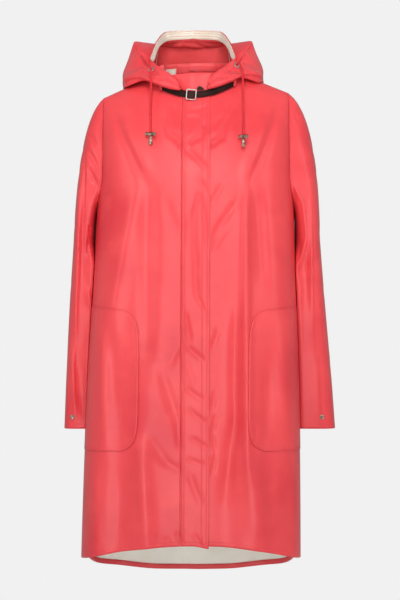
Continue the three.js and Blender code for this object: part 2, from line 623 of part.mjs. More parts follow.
function buildStrap() {
  addPiece('neck_strap_right', strapPiece(-STRAP_END, BUCKLE_X - 1, 8), LEATHER);
  addPiece('neck_strap_left', strapPiece(BUCKLE_X - 1 + SEAM_GAP, STRAP_END, 9), LEATHER);

  // The frame lies on the strap. The strap's pointed tip shows inside it.
  const centre = hang(strapPoint(BUCKLE_X, -0.6, 1.5));
  const frame = roundedRectangle(new THREE.Shape(), BUCKLE_WIDTH, BUCKLE_HEIGHT, 2);
  const hole = [BUCKLE_WIDTH - 2 * BUCKLE_BAR, BUCKLE_HEIGHT - 2 * BUCKLE_BAR];
  frame.holes.push(roundedRectangle(new THREE.Path(), ...hole, 1));
  addPiece('buckle_frame', standingPlate(frame, BUCKLE_BAR, centre, BUCKLE_TILT), SILVER);

  const tip = new THREE.Shape();
  const [half, top, foot] = [5.5, 7, -4.5];
  tip.moveTo(-half, top);
  tip.lineTo(-half, foot);
  tip.lineTo(0, foot - 3.4);
  tip.lineTo(half, foot);
  tip.lineTo(half, top);
  addPiece('neck_strap_tip', standingPlate(tip, 2, centre, BUCKLE_TILT), LEATHER);

  // A small tab of the strap's other end stands up behind it, beside the buckle.
  const tab = new THREE.Shape();
  tab.moveTo(-7, 0);
  tab.lineTo(7.5, 0);
  tab.lineTo(5, 3.5);
  tab.lineTo(-2.5, 7.5);
  tab.lineTo(-5.5, 5.5);
  const seat = hang(strapPoint(9, STRAP_WIDTH / 2 + 1.7, -0.2));
  addPiece('neck_strap_tab', standingPlate(tab, 1.8, seat.setY(seat.y + 1.8), 0), LEATHER);

  for (const [name, side] of [['strap_keeper_right', -1], ['strap_keeper_left', 1]]) {
    const xs = [STRAP_END - KEEPER_WIDTH, STRAP_END].map((x) => x * side).sort((a, b) => a - b);
    const edges = [-STRAP_WIDTH / 2 - 1, STRAP_WIDTH / 2 + 0.5];
    const keeper = xs.map((x) => edges.map((up) => strapPoint(x, up, 1.9)));
    addPiece(name, sheet(keeper, { thickness: 1.2 }), CORAL);
  }
}

// Eyelets in the brim, the drawcord's two free ends and the toggles on them.

const EYELET_ALONG = 6.1;
const CORDS = [
  { hand: 'right', side: -1, eyeletTurn: 62, eyeletLift: 1.4, reach: 15.5, x: -86, standoff: 6,
    toggleZ: -127.3, toggleTurn: 4 },
  { hand: 'left', side: 1, eyeletTurn: 69, eyeletLift: 3.1, reach: 27, x: 90, standoff: 10.5,
    toggleZ: -137.5, toggleTurn: 38 },
];
const TOGGLE_LENGTH = 20.5;
const TOGGLE_RADIUS = 3.9;

// A place on a curved surface and the direction straight out of it.
function seatOn(surface, u, v, step) {
  const place = surface(u, v);
  const across = surface(u + step, v).sub(surface(u - step, v));
  const along = surface(u, v + step / 20).sub(surface(u, v - step / 20));
  const out = across.cross(along).normalize();
  return { place, out };
}

function cordRoute(cord) {
  const hood = (turn, along) => hoodPoint(turn, along, cord.side);
  const { place, out } = seatOn(hood, cord.eyeletTurn, EYELET_ALONG, 2);
  if (out.z < 0) out.negate();
  const points = [1.2, 4.5, 8].map((far) => place.clone().addScaledVector(out, far));
  const lip = points[2].y - 8;
  points.push(new THREE.Vector3((cord.x + points[2].x) / 2, lip - 6, points[2].z - 6));
  const fall = lip - cord.reach;
  const end = cord.toggleZ + TOGGLE_RADIUS + SEAM_GAP;
  for (const z of spread(points[3].z - 14, end, 7)) {
    const chest = -bodyDepth(cord.x, z - 16, true) - cord.standoff;
    points.push(new THREE.Vector3(cord.x, Math.min(fall, chest), z));
  }
  return { route: points.map(hang), place, out };
}

function buildCords() {
  for (const cord of CORDS) {
    const { route, place, out } = cordRoute(cord);
    const eyelet = [[2.6, 0], [5.6, 0], [5.8, 0.5], [4.8, 1.3], [3.4, 1.4], [2.6, 0.9], [2.6, 0]];
    const seat = hang(place.clone().addScaledVector(out, cord.eyeletLift));
    addPiece('eyelet_' + cord.hand, turned(eyelet, 16, seat, out), SILVER);

    const section = new THREE.Shape();
    section.absarc(0, 0, CORD_DIAMETER / 2, 0, 2 * Math.PI);
    const line = new THREE.CatmullRomCurve3(route, false, 'centripetal');
    const cordSolid = new THREE.ExtrudeGeometry(section, { steps: 22, curveSegments: 4, extrudePath: line });
    addPiece('drawcord_' + cord.hand, cordSolid, CORAL);

    const end = route[route.length - 1];
    const centre = end.clone().add(new THREE.Vector3(0, 0, -TOGGLE_RADIUS - SEAM_GAP));
    const turn = cord.toggleTurn * DEGREE;
    const axis = new THREE.Vector3(Math.cos(turn), -Math.sin(turn), 0);
    const half = TOGGLE_LENGTH / 2;
    const barrel = [[0, 0], [2.6, 0], [TOGGLE_RADIUS, 1.2], [TOGGLE_RADIUS, 3.4], [3.4, 4], [3.4, 5]];
    const mirrored = barrel.map(([r, h]) => [r, TOGGLE_LENGTH - h]).reverse();
    const start = centre.clone().addScaledVector(axis, -half);
    addPiece('toggle_' + cord.hand, turned([...barrel, ...mirrored], 14, start, axis), ANTIQUE);

    const bell = [[0, 0], [2.9, 0], [3.3, 1], [2.9, 3], [3.1, 9], [3.9, 14], [3.9, 15.4], [0, 15.4]];
    const below = centre.clone().add(new THREE.Vector3(0, 0, -TOGGLE_RADIUS - SEAM_GAP));
    addPiece('toggle_end_' + cord.hand, turned(bell, 14, below, new THREE.Vector3(0, 0, -1)), ANTIQUE);
  }
}

// Press studs near the cuffs.

const STUD_ANGLE = 74 * DEGREE;
const STUD_Z = -671;

function buildStuds() {
  for (const [name, side] of [['cuff_stud_right', -1], ['cuff_stud_left', 1]]) {
    const arm = (angle, z) => {
      const p = sleeveSection(side, angle, z);
      return new THREE.Vector3(side * p.x, p.y, p.z);
    };
    const { place, out } = seatOn(arm, STUD_ANGLE, STUD_Z, 0.1);
    if (out.y > 0) out.negate();
    const stud = [[0, 0], [4.6, 0], [4.9, 0.6], [4.2, 1.5], [3.2, 1.6], [2.8, 1.2], [0, 1.1]];
    addPiece(name, turned(stud, 16, hang(place.addScaledVector(out, 0.4)), out), ANTIQUE);
  }
}

buildBody();
buildPockets();
buildSleeves();
buildHood();
buildNeck();
buildStrap();
buildCords();
buildStuds();

export default coat;
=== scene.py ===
# %% [markdown]
# # A hooded raincoat
#
# The coat is filled out as on a general figure, with nobody in it, and its hood is pushed back. The
# cloth is polyester coated with a smooth coral film. It is thin and a little stiff, so it hangs in
# long soft folds, and each fold shows as a sheen rather than as a shadow.
#
# The imported CAD model is loaded first. Each piece made below takes the place of one solid of that
# model.

# %% Load the frame
import math

import bmesh
import bpy
import numpy as np
from mathutils import Matrix


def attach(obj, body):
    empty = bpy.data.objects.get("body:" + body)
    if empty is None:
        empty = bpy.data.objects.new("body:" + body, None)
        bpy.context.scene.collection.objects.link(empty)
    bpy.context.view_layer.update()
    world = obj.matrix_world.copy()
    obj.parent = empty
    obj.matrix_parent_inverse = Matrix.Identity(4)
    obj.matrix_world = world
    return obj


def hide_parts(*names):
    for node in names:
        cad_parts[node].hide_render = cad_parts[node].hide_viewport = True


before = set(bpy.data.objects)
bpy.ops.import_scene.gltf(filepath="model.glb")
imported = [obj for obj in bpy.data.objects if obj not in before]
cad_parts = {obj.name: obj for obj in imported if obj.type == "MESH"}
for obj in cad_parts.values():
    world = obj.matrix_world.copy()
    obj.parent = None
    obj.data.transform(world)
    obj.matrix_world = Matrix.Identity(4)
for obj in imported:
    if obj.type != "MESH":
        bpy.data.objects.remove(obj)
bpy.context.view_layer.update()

MM = 0.001

# %% [markdown]
# ## Camera
#
# The photograph looks straight at the front from the height of the coat's middle. The lens could be
# found by trial, but a scale is surer: at the coat one pixel is 1.95 mm, so the lens follows from
# that scale, the height of the picture and the camera's distance.

# %% Camera
PIXEL = 1.95
CAMERA_AWAY = 4200.0
CAMERA_X, CAMERA_Z = 7.8, -444.6
SENSOR = 24.0
PICTURE_ROWS = 600

camera_data = bpy.data.cameras.new("camera")
camera_data.sensor_fit = "VERTICAL"
camera_data.sensor_height = SENSOR
camera_data.lens = SENSOR * CAMERA_AWAY / (PICTURE_ROWS * PIXEL)
camera = bpy.data.objects.new("camera", camera_data)
camera.location = (CAMERA_X * MM, -CAMERA_AWAY * MM, CAMERA_Z * MM)
camera.rotation_euler = (math.pi / 2, 0, 0)
bpy.context.scene.collection.objects.link(camera)
bpy.context.scene.camera = camera
print("lens", round(camera_data.lens, 1), "mm")

# %% [markdown]
# ## The coat's form
#
# A coat could be modelled by pushing points about, but then no two panels would share a seam. Here
# each panel is a surface worked out from a few sections, as a cutter grades a pattern from a few
# measurements, so panels that meet take their edges from the same numbers. Between two rows of a
# table a smooth cubic gives the values. Everything is in millimetres on a coat that hangs true, and
# `hang` then gives it the lean of the real one.

# %% Sizes
CLOTH = 1.6
SEAM_GAP = 0.3
NECK_HALF_WIDTH = 72.0
NECK_CROWN = 31.0
NECK_DROP_FRONT, NECK_RISE_BACK = 56.0, 16.0
SHOULDER_HALF_WIDTH = 180.0
SHOULDER_SLOPE = 0.43
SHOULDER_POINT = -SHOULDER_SLOPE * (SHOULDER_HALF_WIDTH - NECK_HALF_WIDTH)
ROLL_FRONT, ROLL_BACK = 130.0, 60.0
ARMHOLE_DEPTH = 235.0
ARMHOLE_CURVE = 82.0
UNDERARM = SHOULDER_POINT - ARMHOLE_DEPTH
CHEST_Z, HIP_Z = -250.0, -550.0
CHEST_SQUARENESS, HIP_SQUARENESS = 2.9, 4.0
HEM_FRONT, HEM_SIDE, HEM_BACK = -907.0, -938.0, -988.0
HEM_BACK_RISE = 19.0
STRIP_EDGE = 27.0
UNDERLAP_EDGE = -24.0
CUFF = -694.0
CAP_FOOT = -330.0

# How far the coat hangs off true.
HEM_SWAY = 9.6
STRIP_PLUMB = 7.5
STRIP_HOLD = 80.0
SWAY_TOP = -200.0
SHOULDER_LIFT = 0.028

BODY = np.rec.fromrecords([
    (-990, 213.0, 161, 149),
    (-945, 212.5, 160, 147),
    (-820, 210.5, 156, 140),
    (-694, 207.5, 152, 131),
    (-569, 203.0, 148, 122),
    (-409, 196.0, 142, 112),
    (-289, 192.3, 136, 108),
    (-200, 188.0, 127, 105),
    (-135, 187.0, 111, 100),
    (-90, 187.0, 92, 95),
    (-56, 187.0, 77, 91),
    (0, 187.0, 58, 87),
    (31, 187.0, 50, 84),
], names="z, half, front, back")

SLEEVE = np.rec.fromrecords([
    (-694, 250.7, 278.3, -30, 76),
    (-600, 248.3, 270.2, -36, 88),
    (-450, 243.0, 255.0, -46, 102),
    (-330, 236.5, 243.5, -56, 106),
], names="z, right, left, front, back")

HOOD = np.rec.fromrecords([
    (16, 80.5, -38.5, 88, -43.5, 91, -41.5, 91.5, -39, 89.5, -37, 86, -36),
    (22, 80, -36, 89.5, -42, 93.5, -39, 94, -34.5, 90.5, -30, 85, -22),
    (31, 79, -32, 92, -38.5, 97, -34, 96, -27, 90.5, -19, 82, -10),
    (49, 80, -17, 98, -28, 104, -23, 100, -15, 91, -8, 79, 3),
    (63, 84.5, -13, 108, -19, 114, -12, 104, -4, 91, 1, 80, 13),
    (80, 100, -8, 130, -27, 135, -9, 100, 19, 88, 13, 85, 27),
    (93, 104, -7, 136, -28, 138, -6, 104, 41, 78, 20, 81, 40),
    (108, 104, -7, 134, -33, 141, -3, 122, 63.5, 77, 38, 80, 56),
    (124, 100, -10, 136, -45, 145, -6, 118, 66, 81, 52, 84, 70),
    (137, 101, -14, 135, -66, 149, -17, 121, 66, 90, 63, 92, 81.5),
    (150, 104, -20, 134, -90, 153, -34, 126, 65, 100, 71, 105, 90),
    (180, 110, -25, 130, -104, 156, -42, 130, 63, 110, 77, 112, 95),
], names="turn, under, under_z, fold, fold_z, side, side_z, ridge, ridge_z, tunnel, tunnel_z, brim, brim_z")
print("sections", len(BODY), len(SLEEVE), len(HOOD))

# %% Helpers for whole arrays


def ease(start, end, value):
    """0 before start, 1 after end, and 3t^2 - 2t^3 between them."""
    t = np.clip((value - start) / (end - start), 0, 1)
    return t * t * (3 - 2 * t)


def follow(keys, values, at):
    """Cubic between table rows. The slope at a row is that of the line between its neighbours."""
    keys, values, at = np.asarray(keys, float), np.asarray(values, float), np.asarray(at, float)
    before, after = np.r_[0, np.arange(len(keys) - 1)], np.r_[np.arange(1, len(keys)), len(keys) - 1]
    slopes = (values[after] - values[before]) / (keys[after] - keys[before])
    row = np.clip(np.searchsorted(keys, at) - 1, 0, len(keys) - 2)
    span = keys[row + 1] - keys[row]
    t = np.clip((at - keys[row]) / span, 0, 1)
    rise = t * t * (3 - 2 * t)
    bend = t * (1 - t) ** 2 * slopes[row] + t * t * (t - 1) * slopes[row + 1]
    return values[row] * (1 - rise) + values[row + 1] * rise + span * bend


def hang(points):
    """x moves by the sway, which grows in a straight line down to the hem and is less near the front
    strip. z rises by a slope across the shoulders, because the left one sits higher."""
    x, y, z = np.moveaxis(points, -1, 0)
    plumb = np.where(y < 0, STRIP_PLUMB * np.exp(-(x / STRIP_HOLD) ** 2), 0)
    sway = (plumb - HEM_SWAY) * np.clip((SWAY_TOP - z) / (SWAY_TOP - HEM_SIDE), 0, 1)
    return np.stack([x + sway, y, z + SHOULDER_LIFT * x * ease(-350, -100, z)], -1)


def creases(table, x, z):
    """Sum of soft troughs and ridges. Each runs from one point to another and may bow sideways.
    Its height is a bell across its width, and fades out at both ends."""
    total = np.zeros(np.broadcast(x, z).shape)
    for x0, z0, x1, z1, width, height, bow in table:
        length = math.hypot(x1 - x0, z1 - z0)
        ux, uz = (x1 - x0) / length, (z1 - z0) / length
        along = ((x - x0) * ux + (z - z0) * uz) / length
        inside = np.clip(along, -0.2, 1.2)
        off = (x - x0) * uz - (z - z0) * ux - bow * 4 * inside * (1 - inside)
        fade = ease(-0.18, 0.3, along) * ease(1.18, 0.7, along)
        total += height * fade * np.exp(-(off / width) ** 2)
    return total


print("ease gives", ease(0, 1, 0.5), "half way, and the body is", follow(BODY.z, BODY.half, -500).round(1))

# %% [markdown]
# ## Folds
#
# A cloth simulation would find folds of its own, but a stiff film keeps the ones that it was given,
# and they have to lie where the photograph shows them. So the folds are listed one by one, from the
# largest down. Long ones fall from the chest to the hem. Two creases come down from the shoulders to
# the chest. Short ones curve under the neck, where the strap draws the cloth in, and lie across the
# front strip. Each row gives where a fold starts and ends, its half width, its height (a trough is
# negative) and how far it bows.

# %% Long folds, in front and behind
LONG_FOLDS = [
    (-150, -330, -186, -940, 26, 4.0),
    (-118, -260, -142, -930, 22, -4.5),
    (-62, -200, -92, -925, 30, 4.5),
    (52, -240, 60, -920, 24, -3.5),
    (84, -170, 112, -930, 28, 4.5),
    (128, -300, 160, -940, 24, -4.0),
]
LONG_FOLDS_BACK = [
    (-120, -230, -150, -960, 30, 6.5),
    (-60, -320, -82, -980, 28, -6.0),
    (-4, -260, -10, -985, 32, 6.0),
    (62, -290, 78, -980, 26, -6.5),
    (116, -220, 146, -960, 30, 6.0),
]
print("long folds", len(LONG_FOLDS), "in front,", len(LONG_FOLDS_BACK), "behind")

# %% Creases of the chest, skirt and neck
CHEST_CREASES = [
    (-156, -82, -95, -222, 8, -3.4, 3),
    (-140, -84, -84, -214, 12, 2.2, 3),
    (156, -84, 104, -220, 8, -3.2, -3),
    (140, -84, 92, -212, 12, 2.2, -3),
    (-90, -222, -87, -560, 15, -4.6, 0),
    (-110, -228, -166, -560, 17, 4.2, 4),
    (95, -222, 99, -580, 8, 4.6, 0),
    (99, -540, 104, -770, 9, 4.4, 0),
    (104, -730, 134, -915, 20, 4.6, -4),
    (117, -235, 130, -430, 13, -3.6, 0),
    (80, -460, 80, -700, 10, -5.0, 3),
    (80, -650, 60, -820, 11, -4.6, 0),
    (-100, -700, -84, -925, 13, 4.6, 0),
    (-130, -770, -128, -935, 18, -3.2, 0),
    (-158, -480, -148, -650, 13, -2.8, 0),
    (-172, -520, -166, -730, 9, 2.6, 0),
    (164, -520, 180, -700, 11, 2.6, 0),
    (136, -560, 141, -710, 11, -2.2, 0),
    (-185, -760, -180, -930, 10, 2.4, 0),
    (178, -780, 184, -925, 12, -2.4, 0),
]
NECK_CREASES = [
    (-61, -84, -52, -134, 4.6, -2.4, 0),
    (-54, -126, -24, -154, 5.0, -2.4, -3),
    (-40, -72, -36, -110, 4.2, -2.0, 0),
    (70, -66, 64, -100, 4.6, -2.0, 0),
    (66, -92, 50, -140, 5.2, -2.4, 4),
    (54, -136, 30, -154, 5.4, -2.4, 3),
    (57, -74, 50, -100, 4.2, -1.8, 0),
    (52, -96, 34, -118, 4.6, -1.8, 3),
    (-84, -80, -78, -150, 9, -1.4, 0),
    (98, -70, 90, -150, 9, -1.4, 0),
]
print("creases", len(CHEST_CREASES), "on the chest and skirt,", len(NECK_CREASES), "at the neck")

# %% Creases of the strip and beside it
STRIP_CREASES = [
    (16, -108, 9, -140, 4.4, -2.0, 0),
    (12, -136, -14, -150, 4.8, -2.0, 3),
    (-14, -82, 24, -75, 3.6, -1.5, 2),
    (-16, -98, 10, -102, 4.0, -1.4, -2),
    (-4, -112, -10, -136, 6, 1.4, 0),
    (-30, -152, 24, -194, 4.8, -1.8, 0),
    (-14, -160, 25, -206, 4.4, -1.6, 0),
    (4, -214, 24, -244, 4.2, -2.0, 0),
    (7, -238, -4, -290, 4.4, -2.4, 0),
    (-3, -280, 2, -386, 4.8, -2.6, 3),
    (8, -246, 21, -350, 4.6, -2.0, -3),
    (-14, -292, -14, -340, 3.8, -1.8, 2),
    (0, -372, 4, -446, 4.6, -2.2, 2),
    (3, -436, 18, -466, 4.0, -2.0, 0),
    (-21, -464, -9, -524, 4.4, -2.4, 0),
    (-18, -530, 20, -560, 4.8, -2.8, 2),
    (-18, -560, -2, -604, 5.5, 1.4, 0),
    (-20, -606, 20, -636, 4.8, -2.2, 2),
    (-12, -650, 25, -678, 4.6, -2.2, 2),
    (-10, -704, 26, -728, 4.6, -2.4, -2),
    (-16, -742, 24, -756, 4.4, -2.2, 2),
    (-12, -770, 14, -832, 6.5, -2.0, 0),
    (-34, -880, -20, -908, 4.6, -1.5, 0),
    (-4, -884, 15, -908, 4.6, -1.5, 0),
]
SMALL_CREASES = [
    (30, -260, 51, -226, 4.4, -2.0, 0),
    (30, -334, 86, -252, 5.6, -2.8, -3),
    (30, -356, 70, -300, 5.6, -2.2, -3),
    (-66, -572, -30, -676, 7.5, -2.6, 0),
    (-34, -664, -26, -730, 5.5, -2.2, 0),
    (-82, -704, -50, -754, 7.5, -2.2, 0),
    (-56, -748, -24, -766, 5.5, -2.0, 0),
    (-50, -570, -30, -530, 6.5, 1.7, 0),
    (-60, -250, -32, -330, 8.0, -1.5, 0),
    (37, -618, 33, -652, 3.8, -2.0, 0),
    (39, -662, 34, -694, 3.8, -2.0, 0),
    (34, -698, 39, -730, 3.8, -2.0, 0),
    (39, -736, 34, -772, 3.8, -2.0, 0),
    (45, -500, 31, -540, 4.8, -1.8, 0),
    (-52, -890, -44, -912, 5, -1.2, 0),
]


def scaled(table, deeper, wider):
    """The same folds, with every height and every width times a number."""
    return [(*row[:4], row[4] * wider, row[5] * deeper, row[6]) for row in table]


FRONT_CREASES = (scaled(CHEST_CREASES, 1.6, 1.1) + scaled(NECK_CREASES, 1.7, 1.1)
                 + scaled(STRIP_CREASES, 1.2, 1.15) + scaled(SMALL_CREASES, 1.2, 1.3))
print("creases in front", len(FRONT_CREASES))

# %% Creases of the back
BACK_CREASES = scaled([
    (-158, -90, -84, -230, 9, -3.2, 3),
    (160, -96, 92, -250, 9, -3.0, -3),
    (-120, -110, 0, -150, 12, -2.2, -9),
    (8, -148, 122, -116, 12, -2.0, -8),
    (-70, -70, 64, -74, 9, -1.8, 8),
    (-86, -236, -98, -600, 15, -4.0, 2),
    (94, -256, 112, -560, 14, -4.2, -2),
    (-30, -300, -38, -700, 16, 3.2, 0),
    (36, -340, 42, -760, 15, 3.4, 0),
    (-150, -300, -172, -640, 13, 3.0, 0),
    (152, -330, 176, -700, 13, 3.2, 0),
    (-60, -620, -70, -950, 14, -3.6, 0),
    (4, -560, 10, -960, 13, -3.8, 0),
    (70, -640, 88, -955, 14, -3.4, 0),
    (-120, -640, -136, -955, 14, 3.6, 0),
    (130, -660, 150, -955, 15, 3.4, 0),
    (-40, -520, 20, -590, 8, -1.8, 4),
    (30, -430, 70, -500, 8, -1.8, 0),
    (-176, -250, -130, -330, 8, -2.2, 0),
    (176, -252, 134, -340, 8, -2.2, 0),
    (-20, -900, -6, -965, 8, -2.4, 0),
    (44, -880, 36, -960, 9, 2.2, 0),
], 1.5, 1.12)
print("creases behind", len(BACK_CREASES))

# %% The body's surface


def shoulder_height(x):
    """A straight line down from the neck point. Inside the neck, a parabola up to its crown."""
    side = np.abs(x)
    arch = NECK_CROWN * (1 - (side / NECK_HALF_WIDTH) ** 2)
    return np.where(side < NECK_HALF_WIDTH, arch, -SHOULDER_SLOPE * (side - NECK_HALF_WIDTH))


def long_folds(table, x, z):
    """Sum of bells across the cloth: height * growth(z) * exp(-(distance / width)^2), where the
    distance is from a line between the fold's top and foot."""
    total = 0
    for top_x, top_z, foot_x, foot_z, width, height in table:
        down = np.clip((top_z - z) / (top_z - foot_z), 0, 1.05)
        offset = (x - top_x - (foot_x - top_x) * down) / width
        total = total + height * ease(0, 0.6, down) * np.exp(-offset ** 2)
    return total


def squareness(z):
    """The exponent of the body's superellipse. Below the hips the fronts hang flat, so it's higher."""
    return CHEST_SQUARENESS + (HIP_SQUARENESS - CHEST_SQUARENESS) * ease(CHEST_Z, HIP_Z, z)


def body_depth(x, z, front, detail=True):
    """How far the cloth stands from the plane of the side seams: depth(z) * round(x) * rise(x, z)
    + folds, where round is a superellipse and rise a quarter circle over the shoulder."""
    half = follow(BODY.z, BODY.half, z)
    depth = follow(BODY.z, BODY.front if front else BODY.back, z)
    across = np.minimum(np.abs(x) / half, 1)
    power = squareness(z)
    round_ = (1 - across ** power) ** (1 / power)
    drop = np.clip((shoulder_height(x) - z) / (ROLL_FRONT if front else ROLL_BACK), 0, 1)
    rise = np.sqrt(1 - (1 - drop) ** 2)
    fade = ease(0, 0.5, round_)
    folds = long_folds(LONG_FOLDS if front else LONG_FOLDS_BACK, x, z) * fade
    if detail:
        small = creases(FRONT_CREASES if front else BACK_CREASES, x, z)
        folds = folds + small * ease(0, 0.32, round_) * ease(-46, -60, z)
    return depth * round_ * rise + folds


def body_point(x, z, front, detail=True):
    """The depth at (x, z) as a point, half a seam's gap off the plane of the side seams."""
    x, z = np.broadcast_arrays(np.asarray(x, float), np.asarray(z, float))
    depth = body_depth(x, z, front, detail) + SEAM_GAP / 2
    return np.stack([x, -depth if front else depth, z], -1)


def top_edge(x, front):
    """Half an ellipse at the neck, which drops in front and rises behind, then the shoulder."""
    fall = np.sqrt(np.maximum(1 - (x / NECK_HALF_WIDTH) ** 2, 0))
    neck = -NECK_DROP_FRONT * fall if front else NECK_RISE_BACK * fall
    return np.where(np.abs(x) < NECK_HALF_WIDTH, neck, shoulder_height(x))


def outer_edge(z):
    """The side seam, and above the underarm the armhole, which comes in to the shoulder."""
    half = follow(BODY.z, BODY.half, z)
    return half + (SHOULDER_HALF_WIDTH - half) * ease(0, ARMHOLE_CURVE, z - UNDERARM)


def hem_height(share, front):
    """In front one power of the share of the half width. Behind, its square, which is gentle, and
    its 22nd power, which turns up close to the side seam."""
    share = np.abs(share)
    if front:
        return HEM_FRONT + (HEM_SIDE - HEM_FRONT) * share ** 2.2
    return HEM_BACK + HEM_BACK_RISE * share ** 2 + (HEM_SIDE - HEM_BACK - HEM_BACK_RISE) * share ** 22


print("underarm at", round(UNDERARM, 1), "and chest depth", np.round(body_depth(0.0, -200.0, True), 1))

# %% [markdown]
# ## From a grid of points to a cloth wall
#
# A panel is a grid of points: columns run round the coat and rows run up it. The grid is the face
# that shows, and a Solidify modifier gives it the cloth's thickness behind, which is less work than
# making both faces. Stitches could be separate pieces of thread, but there are thousands of them. They
# follow the edges, so each point stores how far it is from the nearest row of stitches, and how far
# along that row it is, and the material draws the thread from these two numbers.

# %% Grid tools


def normals(grid, closed=False):
    """Cross product of the steps across and along the grid, made one long."""
    if closed:
        across = np.roll(grid, -1, 0) - np.roll(grid, 1, 0)
    else:
        across = np.gradient(grid, axis=0)
    out = np.cross(across, np.gradient(grid, axis=1))
    return out / np.maximum(np.linalg.norm(out, axis=-1, keepdims=True), 1e-9)


def arc(grid, axis):
    """Length of cloth from the first row or column, summed over the steps."""
    steps = np.linalg.norm(np.diff(grid, axis=axis), axis=-1)
    start = np.zeros_like(np.take(steps, [0], axis))
    return np.concatenate([start, np.cumsum(steps, axis)], axis)


def nearest_stitch(rows):
    """rows holds pairs: distance from one row of stitches, and length along it."""
    distance = np.stack([np.abs(np.broadcast_to(d, rows[0][0].shape)) for d, _ in rows])
    along = np.stack([np.broadcast_to(a, rows[0][0].shape) for _, a in rows])
    best = distance.argmin(0)[None]
    return np.take_along_axis(distance, best, 0)[0], np.take_along_axis(along, best, 0)[0]


def build_mesh(name, points, faces, materials, uv=None, fields=None):
    """Points in millimetres and faces of four corners become one smooth mesh object."""
    mesh = bpy.data.meshes.new(name)
    faces = np.asarray(faces)
    mesh.vertices.add(len(points))
    mesh.vertices.foreach_set("co", (points * MM).astype(np.float32).ravel())
    mesh.loops.add(faces.size)
    mesh.loops.foreach_set("vertex_index", faces.ravel().astype(np.int32))
    mesh.polygons.add(len(faces))
    mesh.polygons.foreach_set("loop_start", np.arange(len(faces), dtype=np.int32) * faces.shape[1])
    mesh.polygons.foreach_set("use_smooth", np.ones(len(faces), bool))
    mesh.update(calc_edges=True)
    if uv is not None:
        layer = mesh.uv_layers.new(name="cloth")
        layer.data.foreach_set("uv", uv[faces.ravel()].astype(np.float32).ravel())
    for field, values in (fields or {}).items():
        layer = mesh.attributes.new(field, "FLOAT", "POINT")
        layer.data.foreach_set("value", values.astype(np.float32).ravel())
    for material in materials:
        mesh.materials.append(material)
    piece = bpy.data.objects.new(name, mesh)
    bpy.context.scene.collection.objects.link(piece)
    return piece


def grid_faces(columns, rows, closed=False):
    """Faces between each column and the next. A closed grid joins its last column to the first."""
    i, j = np.meshgrid(np.arange(columns if closed else columns - 1), np.arange(rows - 1), indexing="ij")
    k = (i + 1) % columns
    return np.stack([i * rows + j, k * rows + j, k * rows + j + 1, i * rows + j + 1], -1).reshape(-1, 4)


def finish_piece(piece, nodes):
    """The whole coat is one body. Each piece stands for a solid, and that solid is hidden."""
    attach(piece, "root")
    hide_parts(*nodes)


def tube_faces(rings, sides, closed=False):
    """A grid's faces, and those that join the last point of each ring to its first."""
    ring = np.arange(rings if closed else rings - 1)
    here, there = ring * sides, (ring + 1) % rings * sides
    seam = np.stack([here + sides - 1, there + sides - 1, there, here], -1)
    return np.concatenate([grid_faces(rings, sides, closed), seam])


def face_out(columns, side):
    """Turns the columns round on the right side, so that the grid's outer face is the one that shows."""
    return columns[::-1] if side < 0 else columns


def both_edges(inset):
    """One row of stitches along the lower edge and one along the upper, this far inside them."""
    return lambda u, v: nearest_stitch([(v - inset, u), (v[:, -1:] - v - inset, u)])


def signed_power(values, power):
    """sign(v) * |v|^power, which turns a circle's sine and cosine into those of a superellipse."""
    return np.sign(values) * np.abs(values) ** power


def weld(piece, close_ends=False):
    """Merges points that lie on each other, or closes open ends, and turns every face outwards."""
    shape = bmesh.new()
    shape.from_mesh(piece.data)
    if close_ends:
        bmesh.ops.holes_fill(shape, edges=shape.edges, sides=0)
    else:
        bmesh.ops.remove_doubles(shape, verts=shape.verts, dist=2e-6)
        bmesh.ops.dissolve_degenerate(shape, edges=shape.edges, dist=1e-7)
    bmesh.ops.recalc_face_normals(shape, faces=shape.faces)
    shape.to_mesh(piece.data)
    shape.free()


print("a closed grid of 6 x 4 points has", len(grid_faces(6, 4, True)), "faces")

# %% A wall of cloth
NO_STITCH = 99.0


def cloth(name, grid, materials, nodes, lift=0.0, thickness=CLOTH, closed=False,
          limit=None, stitches=None):
    """A wall of cloth on a grid, moved out by lift, which is a number or one number for each column.
    The second material, if there is one, is on its inner face. limit keeps the points on their own
    side of a seam. stitches takes the cloth's length across and along at every point."""
    outer = grid + normals(grid, closed) * np.reshape(lift, (-1, 1, 1))
    if limit is not None:
        outer = limit(outer)
    columns, rows = grid.shape[:2]
    u, v = arc(outer, 0), arc(outer, 1)
    distance, along = stitches(u, v) if stitches else (np.full(u.shape, NO_STITCH), v)
    uv = np.stack([u, v], -1).reshape(-1, 2) * MM
    faces = grid_faces(columns, rows, closed)
    fields = {"stitch": distance, "along": along}
    piece = build_mesh(name, hang(outer).reshape(-1, 3), faces, materials, uv, fields)
    wall = piece.modifiers.new("wall", "SOLIDIFY")
    wall.thickness = thickness * MM
    wall.offset = -1
    wall.material_offset = 1 if len(materials) > 1 else 0
    finish_piece(piece, nodes)
    cells = np.cross(np.diff(outer, axis=0)[:, :-1], np.diff(outer, axis=1)[:-1])
    area = np.linalg.norm(cells, axis=-1).sum() * MM ** 2
    print(f"{name}: {columns} x {rows} points, {u.max():.0f} x {v.max():.0f} mm, {area:.4f} m2")
    return piece


print("cloth", CLOTH, "mm thick")

# %% [markdown]
# ## Materials
#
# Shader maths is written as ordinary expressions. `Value` wraps a socket, and its operators add the
# Math nodes. `Finish` holds one material, and its `add` makes any other node.

# %% A small language for shaders


